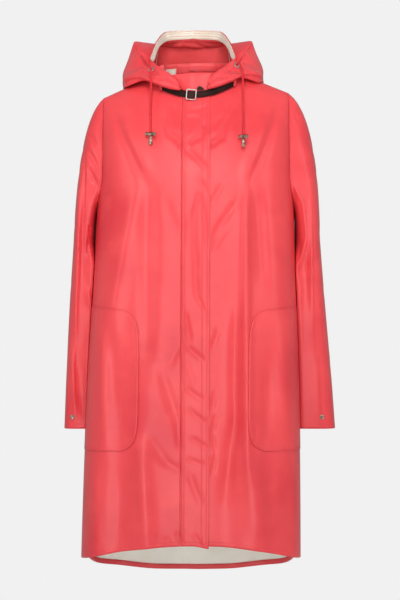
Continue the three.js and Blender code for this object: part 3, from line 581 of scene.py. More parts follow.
class Value:
    """A number that varies over the surface. Arithmetic on it adds Math nodes."""

    def __init__(self, finish, socket):
        self.finish, self.socket = finish, socket

    def math(self, operation, *others):
        return self.finish.add("Math", {"operation": operation}, dict(enumerate((self, *others))))

    def __add__(self, other):
        return self.math("ADD", other)

    def __sub__(self, other):
        return self.math("SUBTRACT", other)

    def __rsub__(self, other):
        return self.finish.add("Math", {"operation": "SUBTRACT"}, {0: other, 1: self})

    def __mul__(self, other):
        return self.math("MULTIPLY", other)

    __radd__, __rmul__ = __add__, __mul__

    def smooth(self, start, end):
        """0 at start, 1 at end, with an even slope between."""
        inputs = {"Value": self, "From Min": start, "From Max": end}
        return self.finish.add("MapRange", {"interpolation_type": "SMOOTHSTEP"}, inputs)


class Finish:
    """One material: a Principled shader and the nodes that feed it."""

    def __init__(self, name, **constants):
        self.material = bpy.data.materials.new(name)
        self.material.use_nodes = True
        self.tree = self.material.node_tree
        self.shader = self.tree.nodes["Principled BSDF"]
        for key, value in constants.items():
            self.shader.inputs[key.replace("_", " ")].default_value = value

    def add(self, kind, settings=None, inputs=None, output=0):
        node = self.tree.nodes.new("ShaderNode" + kind)
        for key, value in (settings or {}).items():
            setattr(node, key, value)
        for key, value in (inputs or {}).items():
            self.put(node.inputs[key], value)
        return Value(self, node.outputs[output])

    def put(self, socket, value):
        if isinstance(value, Value):
            self.tree.links.new(value.socket, socket)
        else:
            socket.default_value = value

    def place(self):
        return self.add("TexCoord", output="Object")

    def cloth_map(self):
        return self.add("UVMap", {"uv_map": "cloth"})

    def field(self, name):
        return self.add("Attribute", {"attribute_name": name}, output="Fac")

    def noise(self, scale, detail=2.0, rough=0.5, at=None):
        inputs = {"Vector": at or self.place(), "Scale": scale, "Detail": detail, "Roughness": rough}
        return self.add("TexNoise", {}, inputs)

    def blend(self, factor, first, second):
        return self.add("Mix", {"data_type": "RGBA"}, {0: factor, 6: first, 7: second}, output=2)

    def bump(self, height, distance, strength=1.0, under=None):
        inputs = {"Height": height, "Distance": distance, "Strength": strength}
        if under is not None:
            inputs["Normal"] = under
        return self.add("Bump", {}, inputs)

    def set(self, **values):
        for key, value in values.items():
            self.put(self.shader.inputs[key.replace("_", " ")], value)
        return self.material


def rgb(red, green, blue):
    """A screen colour from 0 to 255 as the light values that a shader takes."""
    part = np.array([red, green, blue]) / 255
    light = np.where(part <= 0.04045, part / 12.92, ((part + 0.055) / 1.055) ** 2.4)
    return (*light, 1.0)


print("screen 238, 75, 80 is", np.round(rgb(238, 75, 80), 3))

# %% [markdown]
# ### Coated cloth
#
# The film is smooth with a soft wet sheen. It has the faintest grain, shallow dimples where it has
# been handled, and a little pull round each row of stitches. The thread lies in a groove that it
# draws into the cloth. Inside, the uncoated polyester is pale and matt, with a fine weave. The hood's
# inner face is the same film in a lighter coral, painted light for the hood's shaded inside.

# %% Coral film, pale backing
CORAL = rgb(219, 65, 70)
CORAL_DEEP = rgb(206, 49, 58)
CORAL_LIGHT = rgb(231, 75, 76)
# Painted light: a lighter coral for the hood's inner face, which lies in shade.
CORAL_INSIDE_PAINTED_LIGHT = rgb(234, 86, 88)
STITCH_LENGTH = 3.4


def thread_of(finish):
    """Mask of the thread and depth of its groove, from the distance and the length along it."""
    stitch, along = finish.field("stitch"), finish.field("along")
    gap = (along * (2 * math.pi / STITCH_LENGTH)).math("COSINE").smooth(-0.96, -0.7)
    thread = stitch.smooth(0.62, 0.4) * gap
    groove = stitch.smooth(2.2, 0.3)
    pull = finish.noise(150.0, 1.0) * stitch.smooth(9.0, 1.0)
    return thread, groove, pull


def coated(name, base=CORAL, roughness=0.4):
    """A smooth film: two tones in soft clouds, a grain that only the sheen shows, and stitching."""
    finish = Finish(name, Specular_IOR_Level=0.36, Coat_Roughness=0.28)
    thread, groove, pull = thread_of(finish)
    clouds, grain = finish.noise(7.0, 3.0), finish.noise(2600.0, 2.0)
    dents, handled = finish.noise(42.0, 2.0, 0.45), finish.noise(19.0, 4.0)
    colour = finish.blend(clouds.smooth(0.25, 0.6), CORAL_DEEP, base)
    colour = finish.blend(handled.smooth(0.5, 0.75) * 0.45, colour, CORAL_LIGHT)
    # Painted shade: the groove beside each row of stitches is darker.
    colour = finish.blend(groove * 0.14, colour, rgb(190, 30, 44))
    colour = finish.blend(thread * 0.75, colour, rgb(226, 62, 68))
    shape = dents * 0.6 + pull * 0.5 - groove * 0.36 + thread * 0.3
    soft = finish.bump(shape, 0.0012, 0.75)
    fine = finish.bump(grain, 0.00012, 0.3, soft)
    sheen = roughness + clouds * 0.1 + thread * 0.2 - 0.05
    return finish.set(Base_Color=colour, Roughness=sheen, Coat_Weight=0.24 - groove * 0.14, Normal=fine)


def backing():
    """A fine matt weave: threads in both directions of the cloth's map."""
    finish = Finish("pale_backing", Specular_IOR_Level=0.3, Sheen_Weight=0.25, Sheen_Roughness=0.5)
    weave = {"Vector": finish.cloth_map(), "Scale": 420.0, "Distortion": 0.4}
    ribs = finish.add("TexWave", {"bands_direction": "X"}, weave)
    picks = finish.add("TexWave", {"bands_direction": "Y"}, weave)
    cloudy = finish.noise(11.0, 3.0)
    colour = finish.blend(cloudy.smooth(0.3, 0.7), rgb(240, 232, 218), rgb(250, 245, 234))
    colour = finish.blend(ribs * picks * 0.12, colour, rgb(168, 152, 136))
    normal = finish.bump(ribs + picks, 0.0002, 0.4)
    return finish.set(Base_Color=colour, Roughness=0.86 + cloudy * 0.1, Normal=normal)


coral_film = coated("coral_film")
# Painted light: the hood's inner face is the same film, made lighter to stand in for light in its shade.
coral_lining_painted_light = coated("coral_lining_painted_light", CORAL_INSIDE_PAINTED_LIGHT, 0.36)
pale_backing = backing()
print("cloth finishes", coral_film.name, coral_lining_painted_light.name, pale_backing.name)

# %% [markdown]
# ### Tape, leather, metal and cord
#
# The tape is a matt twill. The strap is smooth dark leather, rubbed lighter at its edges. The buckle
# and eyelets are polished nickel. The toggles and studs are aged, with darker stains.

# %% Tape, leather, metal and cord


def twill_tape():
    """A matt tape with slanting ribs, the cloth's map turned by 45 degrees."""
    finish = Finish("twill_tape", Specular_IOR_Level=0.25, Sheen_Weight=0.3)
    thread, groove, _ = thread_of(finish)
    turned = finish.add("Mapping", {}, {"Vector": finish.cloth_map(), "Rotation": (0, 0, math.radians(45))})
    twill = finish.add("TexWave", {}, {"Vector": turned, "Scale": 300.0, "Distortion": 0.6})
    colour = finish.blend(finish.noise(30.0, 4.0).smooth(0.3, 0.7), rgb(214, 198, 180), rgb(232, 221, 206))
    colour = finish.blend(twill * 0.2, colour, rgb(190, 172, 152))
    # Painted shade: the groove beside each row of stitches is darker.
    colour = finish.blend(groove * 0.5, colour, rgb(176, 150, 132))
    normal = finish.bump(twill * 0.4 - groove + thread * 0.6, 0.0005, 0.6)
    return finish.set(Base_Color=colour, Roughness=0.82 + twill * 0.1, Normal=normal)


def strap_leather():
    """Smooth dark leather with fine pores, soft wear and a thread that hardly shows."""
    finish = Finish("dark_strap_leather", Specular_IOR_Level=0.14)
    thread, groove, _ = thread_of(finish)
    pores, wear = finish.noise(900.0, 3.0, 0.6), finish.noise(60.0, 4.0)
    edge = finish.field("stitch").smooth(1.0, 3.5)
    colour = finish.blend(wear.smooth(0.35, 0.7), rgb(24, 10, 8), rgb(40, 18, 14))
    colour = finish.blend(edge * 0.1, colour, rgb(76, 46, 38))
    colour = finish.blend(thread * 0.4, colour, rgb(70, 44, 38))
    normal = finish.bump(pores * 0.5 + wear * 0.6 - groove * 0.7 + thread * 0.5, 0.0006, 0.6)
    return finish.set(Base_Color=colour, Roughness=0.44 + pores * 0.2, Normal=normal)


def metal(name, bright, dark, rough, spots):
    """Bright metal with darker stains and fine scratches. A higher spots gives smaller stains."""
    finish = Finish(name, Metallic=1.0)
    stains, scratches = finish.noise(spots, 4.0, 0.6), finish.noise(2400.0, 2.0)
    colour = finish.blend(stains.smooth(0.35, 0.68), dark, bright)
    normal = finish.bump(scratches, 0.00008, 0.35)
    return finish.set(Base_Color=colour, Roughness=rough + scratches * 0.16, Normal=normal)


def braided_cord():
    """Two sets of strands wind round the cord in opposite ways. The map's u runs round it, v along."""
    finish = Finish("braided_cord", Specular_IOR_Level=0.2)
    split = finish.add("SeparateXYZ", {}, {"Vector": finish.cloth_map()})
    round_, along = split, Value(finish, split.socket.node.outputs[1])
    one = (round_ * 4000.0 + along * 2600.0).math("SINE")
    two = (round_ * 4000.0 - along * 2600.0).math("SINE")
    strands = one.math("MAXIMUM", two)
    # Painted shade: the cord is darker in the hollows between strands, lighter on their crowns.
    colour = finish.blend(strands.smooth(-0.2, 0.9), rgb(150, 14, 24), rgb(236, 58, 64))
    normal = finish.bump(strands, 0.0003, 0.7)
    return finish.set(Base_Color=colour, Roughness=0.55 + strands * 0.08, Normal=normal)


tape_twill = twill_tape()
leather = strap_leather()
nickel = metal("polished_nickel", rgb(244, 232, 226), rgb(204, 190, 182), 0.32, 140.0)
aged = metal("aged_brass", rgb(240, 224, 204), rgb(112, 94, 80), 0.22, 260.0)
cord_braid = braided_cord()
print("small finishes", tape_twill.name, leather.name, nickel.name, aged.name, cord_braid.name)

# %% [markdown]
# ## Fronts, strip and back
#
# The two fronts are cut separately. The wearer's right front ends under the sewn edge of a doubled
# strip, which hides the fastening, and the left front runs on underneath it. The back is in one
# piece and longer than the fronts at the hem, so that its pale inside shows below the front hem.

# %% Rows and columns of the panels
HEM_HALF_WIDTH = 212.0
STRIP_DIP = 4.5
DOWN = np.r_[np.linspace(0, 1, 26) ** 2 * 0.065, np.linspace(0.065, 1, 215)[1:]][None, ::-1]


def panel_heights(top, foot):
    """top + (foot - top) * down. The rows start at the hem, and lie closest together at the top."""
    return top + (foot - top) * DOWN


def keep_front(points):
    """No point of a front goes behind its side of the side seam."""
    points[..., 1] = np.minimum(points[..., 1], -SEAM_GAP / 2)
    return points


def keep_back(points):
    """No point of the back comes in front of its side of the side seam."""
    points[..., 1] = np.maximum(points[..., 1], SEAM_GAP / 2)
    return points


def front_stitches(u, v):
    """One row 7 mm above the hem, and two near the shoulder seam."""
    top = v[:, -1:] - v
    return nearest_stitch([(v - 7, u), (top - 9, u), (top - 3, u)])


print("rows of a panel", DOWN.size)

# %% Fronts
right_start = STRIP_EDGE + SEAM_GAP
neck_share = (NECK_HALF_WIDTH - STRIP_EDGE) / (SHOULDER_HALF_WIDTH - STRIP_EDGE)
right_share = np.linspace(0, 1, 96)
right_share[np.abs(right_share - neck_share).argmin()] = neck_share
right_share = right_share[::-1, None]
right_top_x = right_start + (SHOULDER_HALF_WIDTH - right_start) * right_share
right_foot = hem_height(np.minimum(right_top_x / SHOULDER_HALF_WIDTH, 1), True)
right_z = panel_heights(top_edge(right_top_x, True), right_foot)
right_side = right_start + (outer_edge(right_z) - right_start) * right_share
cloth("coat_front_right", body_point(-right_side, right_z, True), [coral_film, pale_backing],
      ["front_panel_right"], limit=keep_front, stitches=front_stitches)

left_x = np.r_[np.linspace(UNDERLAP_EDGE, 0, 14)[:-1], np.linspace(0, NECK_HALF_WIDTH, 44),
               np.linspace(NECK_HALF_WIDTH, SHOULDER_HALF_WIDTH, 66)[1:]][:, None]
left_share = left_x / SHOULDER_HALF_WIDTH
left_z = panel_heights(top_edge(left_x, True), hem_height(left_share, True))
left_side = np.where(left_share > 0, outer_edge(left_z) * left_share, left_x)
cloth("coat_front_left", body_point(left_side, left_z, True), [coral_film, pale_backing],
      ["front_panel_left"], limit=keep_front, stitches=front_stitches)

# %% Front strip
strip_x = np.linspace(-STRIP_EDGE, STRIP_EDGE, 34)[:, None]
strip_foot = hem_height(strip_x / HEM_HALF_WIDTH, True) - STRIP_DIP * ease(-6, STRIP_EDGE, strip_x)
strip_grid = body_point(strip_x, panel_heights(top_edge(strip_x, True), strip_foot), True)
# A low ridge where the fold is sewn down, and a free edge that stands off the panel.
strip_grid[..., 1] -= 0.55 * np.exp(-((strip_x + 23.5) / 2.2) ** 2)
strip_lift = 0.25 + 1.15 * ease(-STRIP_EDGE, -22, strip_x) + 0.9 * ease(-10, 24, strip_x)


def strip_stitches(u, v):
    """Two rows beside the sewn edge, two beside the free edge, one at the hem and one at the neck."""
    x = np.broadcast_to(strip_x, u.shape)
    down = [(x + 25.2, v), (x + 20.6, v), (x - 22.3, v), (x - 12.5, v)]
    return nearest_stitch([*down, (v - 7, u), (v[:, -1:] - v - 8, u)])


cloth("coat_front_strip", strip_grid, [coral_film], ["front_strip"], lift=strip_lift, thickness=1.0,
      limit=keep_front, stitches=strip_stitches)

# %% Back and its turned hem
back_x = np.r_[np.linspace(0, NECK_HALF_WIDTH, 42), np.linspace(NECK_HALF_WIDTH, SHOULDER_HALF_WIDTH, 62)[1:]]
back_x = np.r_[-back_x[:0:-1], back_x][::-1, None]
back_share = back_x / SHOULDER_HALF_WIDTH
back_z = panel_heights(top_edge(back_x, False), hem_height(back_share, False))
cloth("coat_back", body_point(outer_edge(back_z) * back_share, back_z, False), [coral_film, pale_backing],
      ["back_panel"], limit=keep_back,
      stitches=lambda u, v: nearest_stitch([(v - 10, u), (v[:, -1:] - v - 3, u)]))

turn_share = np.linspace(0.97, -0.97, 120)[:, None]
turn_z = hem_height(turn_share, False) + np.linspace(0.4, 10.5, 5)[None, :]
turn_grid = body_point(outer_edge(turn_z) * turn_share, turn_z, False)
cloth("coat_back_hem_turn", turn_grid, [coral_film], ["back_hem_turnup"], lift=-CLOTH - SEAM_GAP,
      thickness=1.0, limit=keep_back,
      stitches=lambda u, v: nearest_stitch([(v[:, -1:] - v - 1.6, u)]))

# %% [markdown]
# ## Pockets
#
# Each pocket is a large patch sewn flat to the front, with its hand opening in the side seam. Its
# outline is a superellipse, so the corners are round, and it lies on the front's own surface.

# %% Pockets
POCKET_COLUMNS = 50
POCKET_MIDDLE, POCKET_HALF_HEIGHT = -593.0, 139.0
POCKET_INNER_EDGE = 103.0
POCKET_CORNER = 6
POCKET_SLANT, SLANT_REACH = 9.0, 80.0


def pocket_grid(side):
    """x = edge - reach * (1 - across), where reach follows |x|^6 + |z|^6 = 1."""
    up = np.sin(np.linspace(-1, 1, 120) * math.pi / 2 * 0.93)[None, :]
    up = up / np.abs(up).max() * 0.985
    across = np.sin(np.linspace(0, 1, POCKET_COLUMNS) * math.pi / 2)[:, None]
    level = POCKET_MIDDLE + POCKET_HALF_HEIGHT * up
    edge = outer_edge(level) * 0.997
    reach = (edge - POCKET_INNER_EDGE) * (1 - np.abs(up) ** POCKET_CORNER) ** (1 / POCKET_CORNER)
    x = edge - reach * (1 - across)
    slant = POCKET_SLANT * np.clip((edge - x) / SLANT_REACH, 0, 1) * (up + 1) / 2
    return body_point(side * x, level - slant, True)


def pocket_stitches(u, v, side):
    """One row 6.5 mm inside the outline, and one at the very edge."""
    rim = u[-1:] - u if side < 0 else u
    rim = np.minimum(rim, np.minimum(v, v[:, -1:] - v))
    return nearest_stitch([(rim - 6.5, u + v), (rim - 1.0, u + v)])


for name, side in (("coat_pocket_right", -1), ("coat_pocket_left", 1)):
    lift = SEAM_GAP + 1.7 * ease(1.0, 0.6, np.linspace(0, 1, POCKET_COLUMNS))
    cloth(name, face_out(pocket_grid(side), side), [coral_film], [name.replace("coat_", "")],
          lift=face_out(lift, side), thickness=0.9, limit=keep_front,
          stitches=lambda u, v, side=side: pocket_stitches(u, v, side))

# %% [markdown]
# ## Sleeves
#
# A sleeve starts as the upright ring of the armhole and swings down into level sections. Its upper
# folds are short and slant from the armhole, and the lower ones run down the arm.

# %% Sleeves
SLEEVE_RIGHT_CREASES = [
    (-186, -146, -208, -118, 4.0, -2.2, 0),
    (-188, -184, -210, -150, 4.4, -2.6, 0),
    (-190, -222, -208, -184, 4.4, -2.4, 0),
    (-215, -150, -218, -430, 3.2, -3.0, 0),
    (-224, -180, -229, -560, 3.4, 2.4, 0),
    (-203, -318, -207, -420, 3.6, -2.4, 2),
    (-202, -300, -199, -318, 4.0, -2.6, 0),
    (-206, -420, -200, -460, 3.6, 2.2, 0),
    (-236, -540, -226, -690, 3.6, 2.2, 0),
    (-228, -520, -218, -690, 3.6, -2.2, 0),
    (-212, -470, -213, -690, 3.4, -2.4, 0),
]
SLEEVE_LEFT_CREASES = [
    (186, -84, 198, -104, 3.6, -2.2, 0),
    (190, -228, 208, -262, 4.0, 2.4, 0),
    (206, -256, 216, -330, 3.8, 2.8, 0),
    (216, -322, 192, -400, 4.2, 2.8, 0),
    (196, -270, 204, -400, 4.6, -2.6, 2),
    (206, -350, 214, -470, 4.4, -2.6, 0),
    (222, -270, 230, -560, 3.2, 2.8, 0),
    (216, -280, 223, -560, 3.0, -2.2, 0),
    (214, -470, 236, -690, 4.4, -2.4, 0),
    (226, -540, 240, -690, 3.6, 2.2, 0),
    (238, -560, 246, -690, 3.4, 2.0, 0),
]
ARM_SIDE_CREASES = [
    (-34, -130, 60, -196, 9, -3.0, 4),
    (-20, -196, 70, -250, 9, -3.2, -4),
    (76, -230, 10, -330, 8, 2.6, 4),
    (-26, -300, 40, -352, 8, -2.8, 0),
    (80, -340, 22, -404, 8, -3.0, 3),
    (-14, -420, 56, -458, 8, -2.6, -3),
    (60, -470, 12, -560, 9, 2.4, 0),
    (0, -560, 50, -600, 8, -2.4, 3),
    (30, -590, 24, -690, 9, 2.2, 0),
]


def arm_section(side, angle, z):
    """A superellipse between the side of the body and the sleeve's outer reach. It is squarest in
    front beside the body, where the sleeve is pressed against it."""
    outer = follow(SLEEVE.z, SLEEVE.right if side < 0 else SLEEVE.left, z)
    inner = follow(BODY.z, BODY.half, z) + 0.8 - 6.8 * ease(CAP_FOOT, CAP_FOOT - 50, z)
    front, rear = follow(SLEEVE.z, SLEEVE.front, z), follow(SLEEVE.z, SLEEVE.back, z)
    squarer = 3.4 + 3.6 * ease(CAP_FOOT, CAP_FOOT - 60, z)
    power = 2 / np.where(np.sin(angle) <= 0, 2.3, np.where(np.cos(angle) < 0, squarer, 3.4))
    x = (outer + inner) / 2 + (outer - inner) / 2 * signed_power(np.cos(angle), power)
    y = (front + rear) / 2 - (rear - front) / 2 * signed_power(np.sin(angle), power)
    return np.stack(np.broadcast_arrays(x, y, z), -1)


def armhole_ring(angle):
    """The panels' own armhole edge, from the shoulder point (angle 0) round to the underarm."""
    z = UNDERARM + ARMHOLE_DEPTH * (1 + np.cos(angle)) / 2
    x = outer_edge(z)
    depth = np.where(np.sin(angle) >= 0, -body_depth(x, z, True, False), body_depth(x, z, False, False))
    return np.stack([x - 0.5, depth, z], -1)


def sleeve_form(side):
    """Cap: (1-t)^2 ring + 2t(1-t) bend + t^2 arm section. Below it, level sections of the arm."""
    angle = (np.arange(132) / 132 * 2 * math.pi)[:, None]
    t = np.linspace(0, 1, 72)[None, :-1, None]
    start, end = armhole_ring(angle), arm_section(side, angle, np.full_like(angle, CAP_FOOT))
    bend = start + (end - start) * np.array([0.91, 0.5, 0.14])
    cap = (1 - t) ** 2 * start + 2 * t * (1 - t) * bend + t * t * end
    arm = arm_section(side, angle, np.linspace(CAP_FOOT, CUFF, 92)[None, :])
    return face_out(np.concatenate([cap, arm], 1) * [side, 1, 1], side)


def with_sleeve_folds(grid, side):
    """Moves the cloth along its own normal by the folds, which fade out at the seam and the cuff."""
    facing = normals(grid, True)
    x, y, z = np.moveaxis(grid, -1, 0)
    table = SLEEVE_RIGHT_CREASES if side < 0 else SLEEVE_LEFT_CREASES
    ahead = creases(table, x, z) * np.abs(facing[..., 1]) ** 1.2
    aside = creases(ARM_SIDE_CREASES, y, z + 6 * side) * np.clip(side * facing[..., 0], 0, 1) ** 1.5
    fade = ease(SHOULDER_POINT - 2, SHOULDER_POINT - 40, z) * ease(0, 30, z - CUFF + 6)
    fade = fade * ease(0.02, 0.12, np.linspace(0, 1, grid.shape[1]))
    return grid + facing * ((1.5 * ahead + 0.4 * aside) * fade)[..., None]


def clear_of_body(grid, side):
    """Keeps the sleeve outside the armhole's edge, and below its cap 1 mm off the body's section."""
    x, y, z = np.moveaxis(grid, -1, 0)
    depth = np.where(y < 0, follow(BODY.z, BODY.front, z), follow(BODY.z, BODY.back, z))
    power = squareness(z)
    section = (1 - np.clip(np.abs(y) / depth, 0, 1) ** power) ** (1 / power)
    lower = ease(CAP_FOOT, CAP_FOOT - 50, z)
    beside = follow(BODY.z, BODY.half, z) * section + 1.0
    floor = (outer_edge(z) + SEAM_GAP) * (1 - lower) + beside * lower
    grid[..., 0] = side * np.maximum(side * x, floor)
    return grid


def sleeve_stitches(u, v):
    """One row 9 mm above the cuff's edge, and one beside the armhole seam."""
    return nearest_stitch([(v[:, -1:] - v - 9, u), (v - 2.5, u)])


for name, side in (("coat_sleeve_right", -1), ("coat_sleeve_left", 1)):
    grid = clear_of_body(with_sleeve_folds(sleeve_form(side), side), side)
    cloth(name, grid, [coral_film, pale_backing], [name.replace("coat_", "")], closed=True,
          stitches=sleeve_stitches)

# %% [markdown]
# ## Hood
#
# The hood is pushed back, so it lies in a loop: from the neck seam it falls outwards, turns up at
# a soft fold, and comes in again to the brim. Every section round the neck is a smooth curve
# through the same eight points, and the shoulders hold the under layer up.

# %% Hood surface
HOOD_CURVES = ("under", "fold", "side", "ridge", "tunnel", "brim")
HOOD_CENTRE_X = -6.0
HOOD_ROUNDNESS = (1, 1, 1, 0.9, 0.8, 0.3, 0.7, 1)
HOOD_LEAN = 0.024
HOOD_CLEARANCE = 2.2


def smooth_curve(knots, at, roundness=None):
    """Centripetal Catmull-Rom through the knots. at runs from 0 to the last knot's number. A knot's
    roundness scales the curve's speed there, so a low one gives a crisp corner."""
    knots = np.asarray(knots, float)
    roundness = np.ones(len(knots)) if roundness is None else np.asarray(roundness, float)
    padded = np.concatenate([2 * knots[:1] - knots[1:2], knots, 2 * knots[-1:] - knots[-2:-1]])
    piece = np.clip(np.floor(at).astype(int), 0, len(knots) - 2)
    t = (at - piece).reshape((-1,) + (1,) * (knots.ndim - 1))
    a, b, c, d = (padded[piece + n] for n in range(4))
    ab, bc, cd = (np.maximum(np.sqrt(np.linalg.norm(q - p, axis=-1, keepdims=True)), 1e-4)
                  for p, q in ((a, b), (b, c), (c, d)))
    first = ((b - a) / ab - (c - a) / (ab + bc) + (c - b) / bc) * bc
    second = ((c - b) / bc - (d - b) / (bc + cd) + (d - c) / cd) * bc
    shape = (-1,) + (1,) * (knots.ndim - 1)
    first = first * roundness[piece].reshape(shape)
    second = second * roundness[piece + 1].reshape(shape)
    curve = b + first * t + (3 * (c - b) - 2 * first - second) * t ** 2
    return curve + (2 * (b - c) + first + second) * t ** 3


def neck_rim(x, front):
    """The panels' own neck edge, where the hood and the pieces inside the neck begin."""
    return body_point(x, top_edge(np.abs(x) - 1e-6, front), front, False)


def over_shoulders(points, clearance):
    """Lifts points, a little at a time, until they are clear of the shoulders."""
    for _ in range(160):
        x, y, z = np.moveaxis(points, -1, 0)
        front, rear = (body_depth(x, z - clearance, ahead, False) for ahead in (True, False))
        depth = np.where(y < 0, front, rear) + clearance
        inside = (z - clearance < shoulder_height(x)) & (np.abs(y) < depth)
        if not inside.any():
            break
        points[..., 2] += 0.25 * inside
    return points


def hood_grid(turns, along, side):
    """One column for each turn round the neck, in degrees from the front. along is 0 at the neck."""
    turns = np.asarray(turns, float)
    lean = np.where(turns <= 180, turns, 360 - turns)
    hand = np.where(turns <= 180, side, -side)
    sine, cosine = np.sin(np.radians(lean)), np.cos(np.radians(lean))
    neck_x = hand * NECK_HALF_WIDTH * sine
    neck = np.where((lean < 90)[:, None], neck_rim(neck_x, True), neck_rim(neck_x, False)) + [0, 0, SEAM_GAP]
    knots = [neck, neck * [1.02, 1.02, 1] + [0, 0, 6]]
    for curve in HOOD_CURVES:
        r, z = follow(HOOD.turn, HOOD[curve], lean), follow(HOOD.turn, HOOD[curve + "_z"], lean)
        knots.append(np.stack([HOOD_CENTRE_X + hand * r * sine, -r * cosine, z], -1))
    grid = smooth_curve(np.stack(knots), along, HOOD_ROUNDNESS).transpose(1, 0, 2)
    grid[..., 2] -= HOOD_LEAN * grid[..., 0] * ease(15, 55, grid[..., 2])
    return over_shoulders(grid, HOOD_CLEARANCE * np.clip(along - 1, 0, 1)[None, :])


example = hood_grid([180], np.array([0.0, 7.0]), 1)
print("at the back the hood starts at", example[0, 0].round(1), "and its brim lies at", example[0, 1].round(1))


# %% Folds of the hood
SEAM_TURN = 147.5
HOOD_ALONG = np.r_[np.linspace(0, 2, 18)[:-1], np.linspace(2, 4, 34)[:-1], np.linspace(4, 7, 52)]
HOOD_CREASES = [
    (24, 6.7, 44, 5.0, 0.30, -1.6, 0),
    (52, 6.4, 66, 4.6, 0.34, -2.0, 0),
    (40, 4.2, 62, 4.0, 0.25, 1.4, 0),
    (72, 5.6, 92, 3.6, 0.34, -2.6, 0),
    (84, 5.9, 106, 4.4, 0.26, -2.2, 0),
    (66, 3.6, 96, 3.3, 0.22, -1.8, 0),
    (100, 4.1, 124, 4.3, 0.30, 2.2, 0),
    (112, 3.2, 140, 3.6, 0.3, -2.2, 0),
    (128, 4.4, 146, 3.4, 0.3, 2.0, 0),
]
HOOD_BACK_CREASES = [
    (150, 5.3, 172, 5.6, 0.16, -2.0, 0.1),
    (168, 5.1, 198, 5.5, 0.18, -2.4, -0.1),
    (190, 5.7, 209, 5.2, 0.16, -1.8, 0.1),
    (152, 5.0, 168, 4.4, 0.2, -2.0, 0),
    (176, 4.7, 206, 4.2, 0.22, 2.4, 0),
    (160, 3.9, 186, 3.5, 0.24, -2.6, 0.1),
    (182, 3.4, 206, 3.8, 0.22, -2.4, 0),
    (156, 3.2, 176, 2.9, 0.2, 2.0, 0),
]


def with_hood_folds(grid, turns, table, height, calm, side=1):
    """Moves the cloth along its own normal by folds that are placed by the turn round the neck (20
    degrees count as one) and the place along. They fade out at the neck and from calm to the brim."""
    turn, along = np.broadcast_arrays(np.asarray(turns)[:, None] / 20, HOOD_ALONG[None, :])
    rows = [(t0 / 20, a0, t1 / 20, a1, *rest) for t0, a0, t1, a1, *rest in table]
    folds = height * creases(rows, turn, along) * ease(1.8, 2.6, along) * ease(7.0, calm, along)
    grid = face_out(grid, side)
    return grid + normals(grid) * face_out(folds, side)[..., None]


def hood_stitches(u, v):
    """Rows beside the panel seam and below the brim."""
    top = v[:, -1:] - v
    return nearest_stitch([(top - 15, u), (top - 3, u), (u[-1:] - u - 2.5, v), (u - 2.5, v)])


# The inner faces take the lighter coral, painted light for the hood's shaded inside.
for name, side, first_turn in (("coat_hood_right", -1, 16), ("coat_hood_left", 1, 20.5)):
    turns = np.r_[np.linspace(first_turn, 90, 52), np.linspace(90, SEAM_TURN - 0.3, 50)[1:]]
    grid = with_hood_folds(hood_grid(turns, HOOD_ALONG, side), turns, HOOD_CREASES, 1.8, 6.4, side)
    cloth(name, grid, [coral_film, coral_lining_painted_light], [name.replace("coat_hood", "hood_side")],
          stitches=hood_stitches)

turns = np.linspace(SEAM_TURN + 0.3, 360 - SEAM_TURN - 0.3, 66)
grid = with_hood_folds(hood_grid(turns, HOOD_ALONG, 1), turns, HOOD_BACK_CREASES, 1.7, 6.5)
# The inner face takes the lighter coral, painted light for the hood's shaded inside.
cloth("coat_hood_centre", grid, [coral_film, coral_lining_painted_light], ["hood_centre"], stitches=hood_stitches)

# %% Tape of the drawcord tunnel
half_turns = np.linspace(79, 180, 90)
tape_turns = np.r_[half_turns, (360 - half_turns[:-1])[::-1]]
tape_lean = np.minimum(tape_turns, 360 - tape_turns)
tape_foot = 6.08 + 0.3 * ease(146, 118, tape_lean)
tape_columns = [hood_grid([turn], np.linspace(foot, 6.95, 14), 1) for turn, foot in zip(tape_turns, tape_foot)]
tape_grid = np.concatenate(tape_columns)
tape_grid = (tape_grid - normals(tape_grid) * (CLOTH + 1.6))[::-1]


def tape_stitches(u, v):
    """One row along each edge, and two that hold the drawcord's tunnel between them."""
    wide = v[:, -1:]
    return nearest_stitch([(v - 1.6, u), (v - wide + 1.6, u), (v - wide * 0.36, u), (v - wide * 0.66, u)])


cloth("coat_hood_tape", tape_grid, [tape_twill], ["hood_tunnel_tape"], thickness=1.1,
      stitches=tape_stitches)

# %% [markdown]
# ## Inside of the neck
#
# A stand inside the front keeps out the wind. At the back a tape covers the seam, and the hanger
# loop and a bare label are sewn to it.

# %% Neck pieces


def neck_band(turns, inset, low, high, rows):
    """Upright bands inside the neck: the rim's plan, moved in by inset, from low to high above it."""
    turns = np.asarray(turns, float)
    front = np.cos(np.radians(turns)) > 0
    x = NECK_HALF_WIDTH * np.sin(np.radians(turns))
    rim = np.where(front[:, None], neck_rim(x, True), neck_rim(x, False))
    plan = rim * [1, 1, 0]
    rim = rim - plan / np.linalg.norm(plan, axis=-1, keepdims=True) * inset
    z = rim[:, 2:] + low + (high - low) * np.linspace(0, 1, rows)[None, :]
    flat = np.broadcast_to(rim[:, None, :2], (len(turns), rows, 2))
    return np.concatenate([flat, z[..., None]], -1)


STAND_ROWS = 14
stand_turns = np.linspace(-72, 72, 90)
stand_grid = neck_band(stand_turns, 2.5, 0.0, 1.0, STAND_ROWS)
stand_foot = stand_grid[:, :1, 2]
stand_top = np.maximum(-9 - 4 * (stand_grid[:, :1, 0] / NECK_HALF_WIDTH) ** 2, stand_foot + 5)
stand_share = np.linspace(0, 1, STAND_ROWS)[None, :]
stand_grid[..., 2] = stand_foot * (1 - stand_share) + stand_top * stand_share
stand_grid[..., 1] += 1.4 * np.sin(stand_turns * 0.19)[:, None] * stand_share
cloth("coat_neck_stand", stand_grid, [coral_film], ["neck_stand"], thickness=1.8,
      stitches=lambda u, v: nearest_stitch([(v[:, -1:] - v - 4, u), (v - 5, u)]))

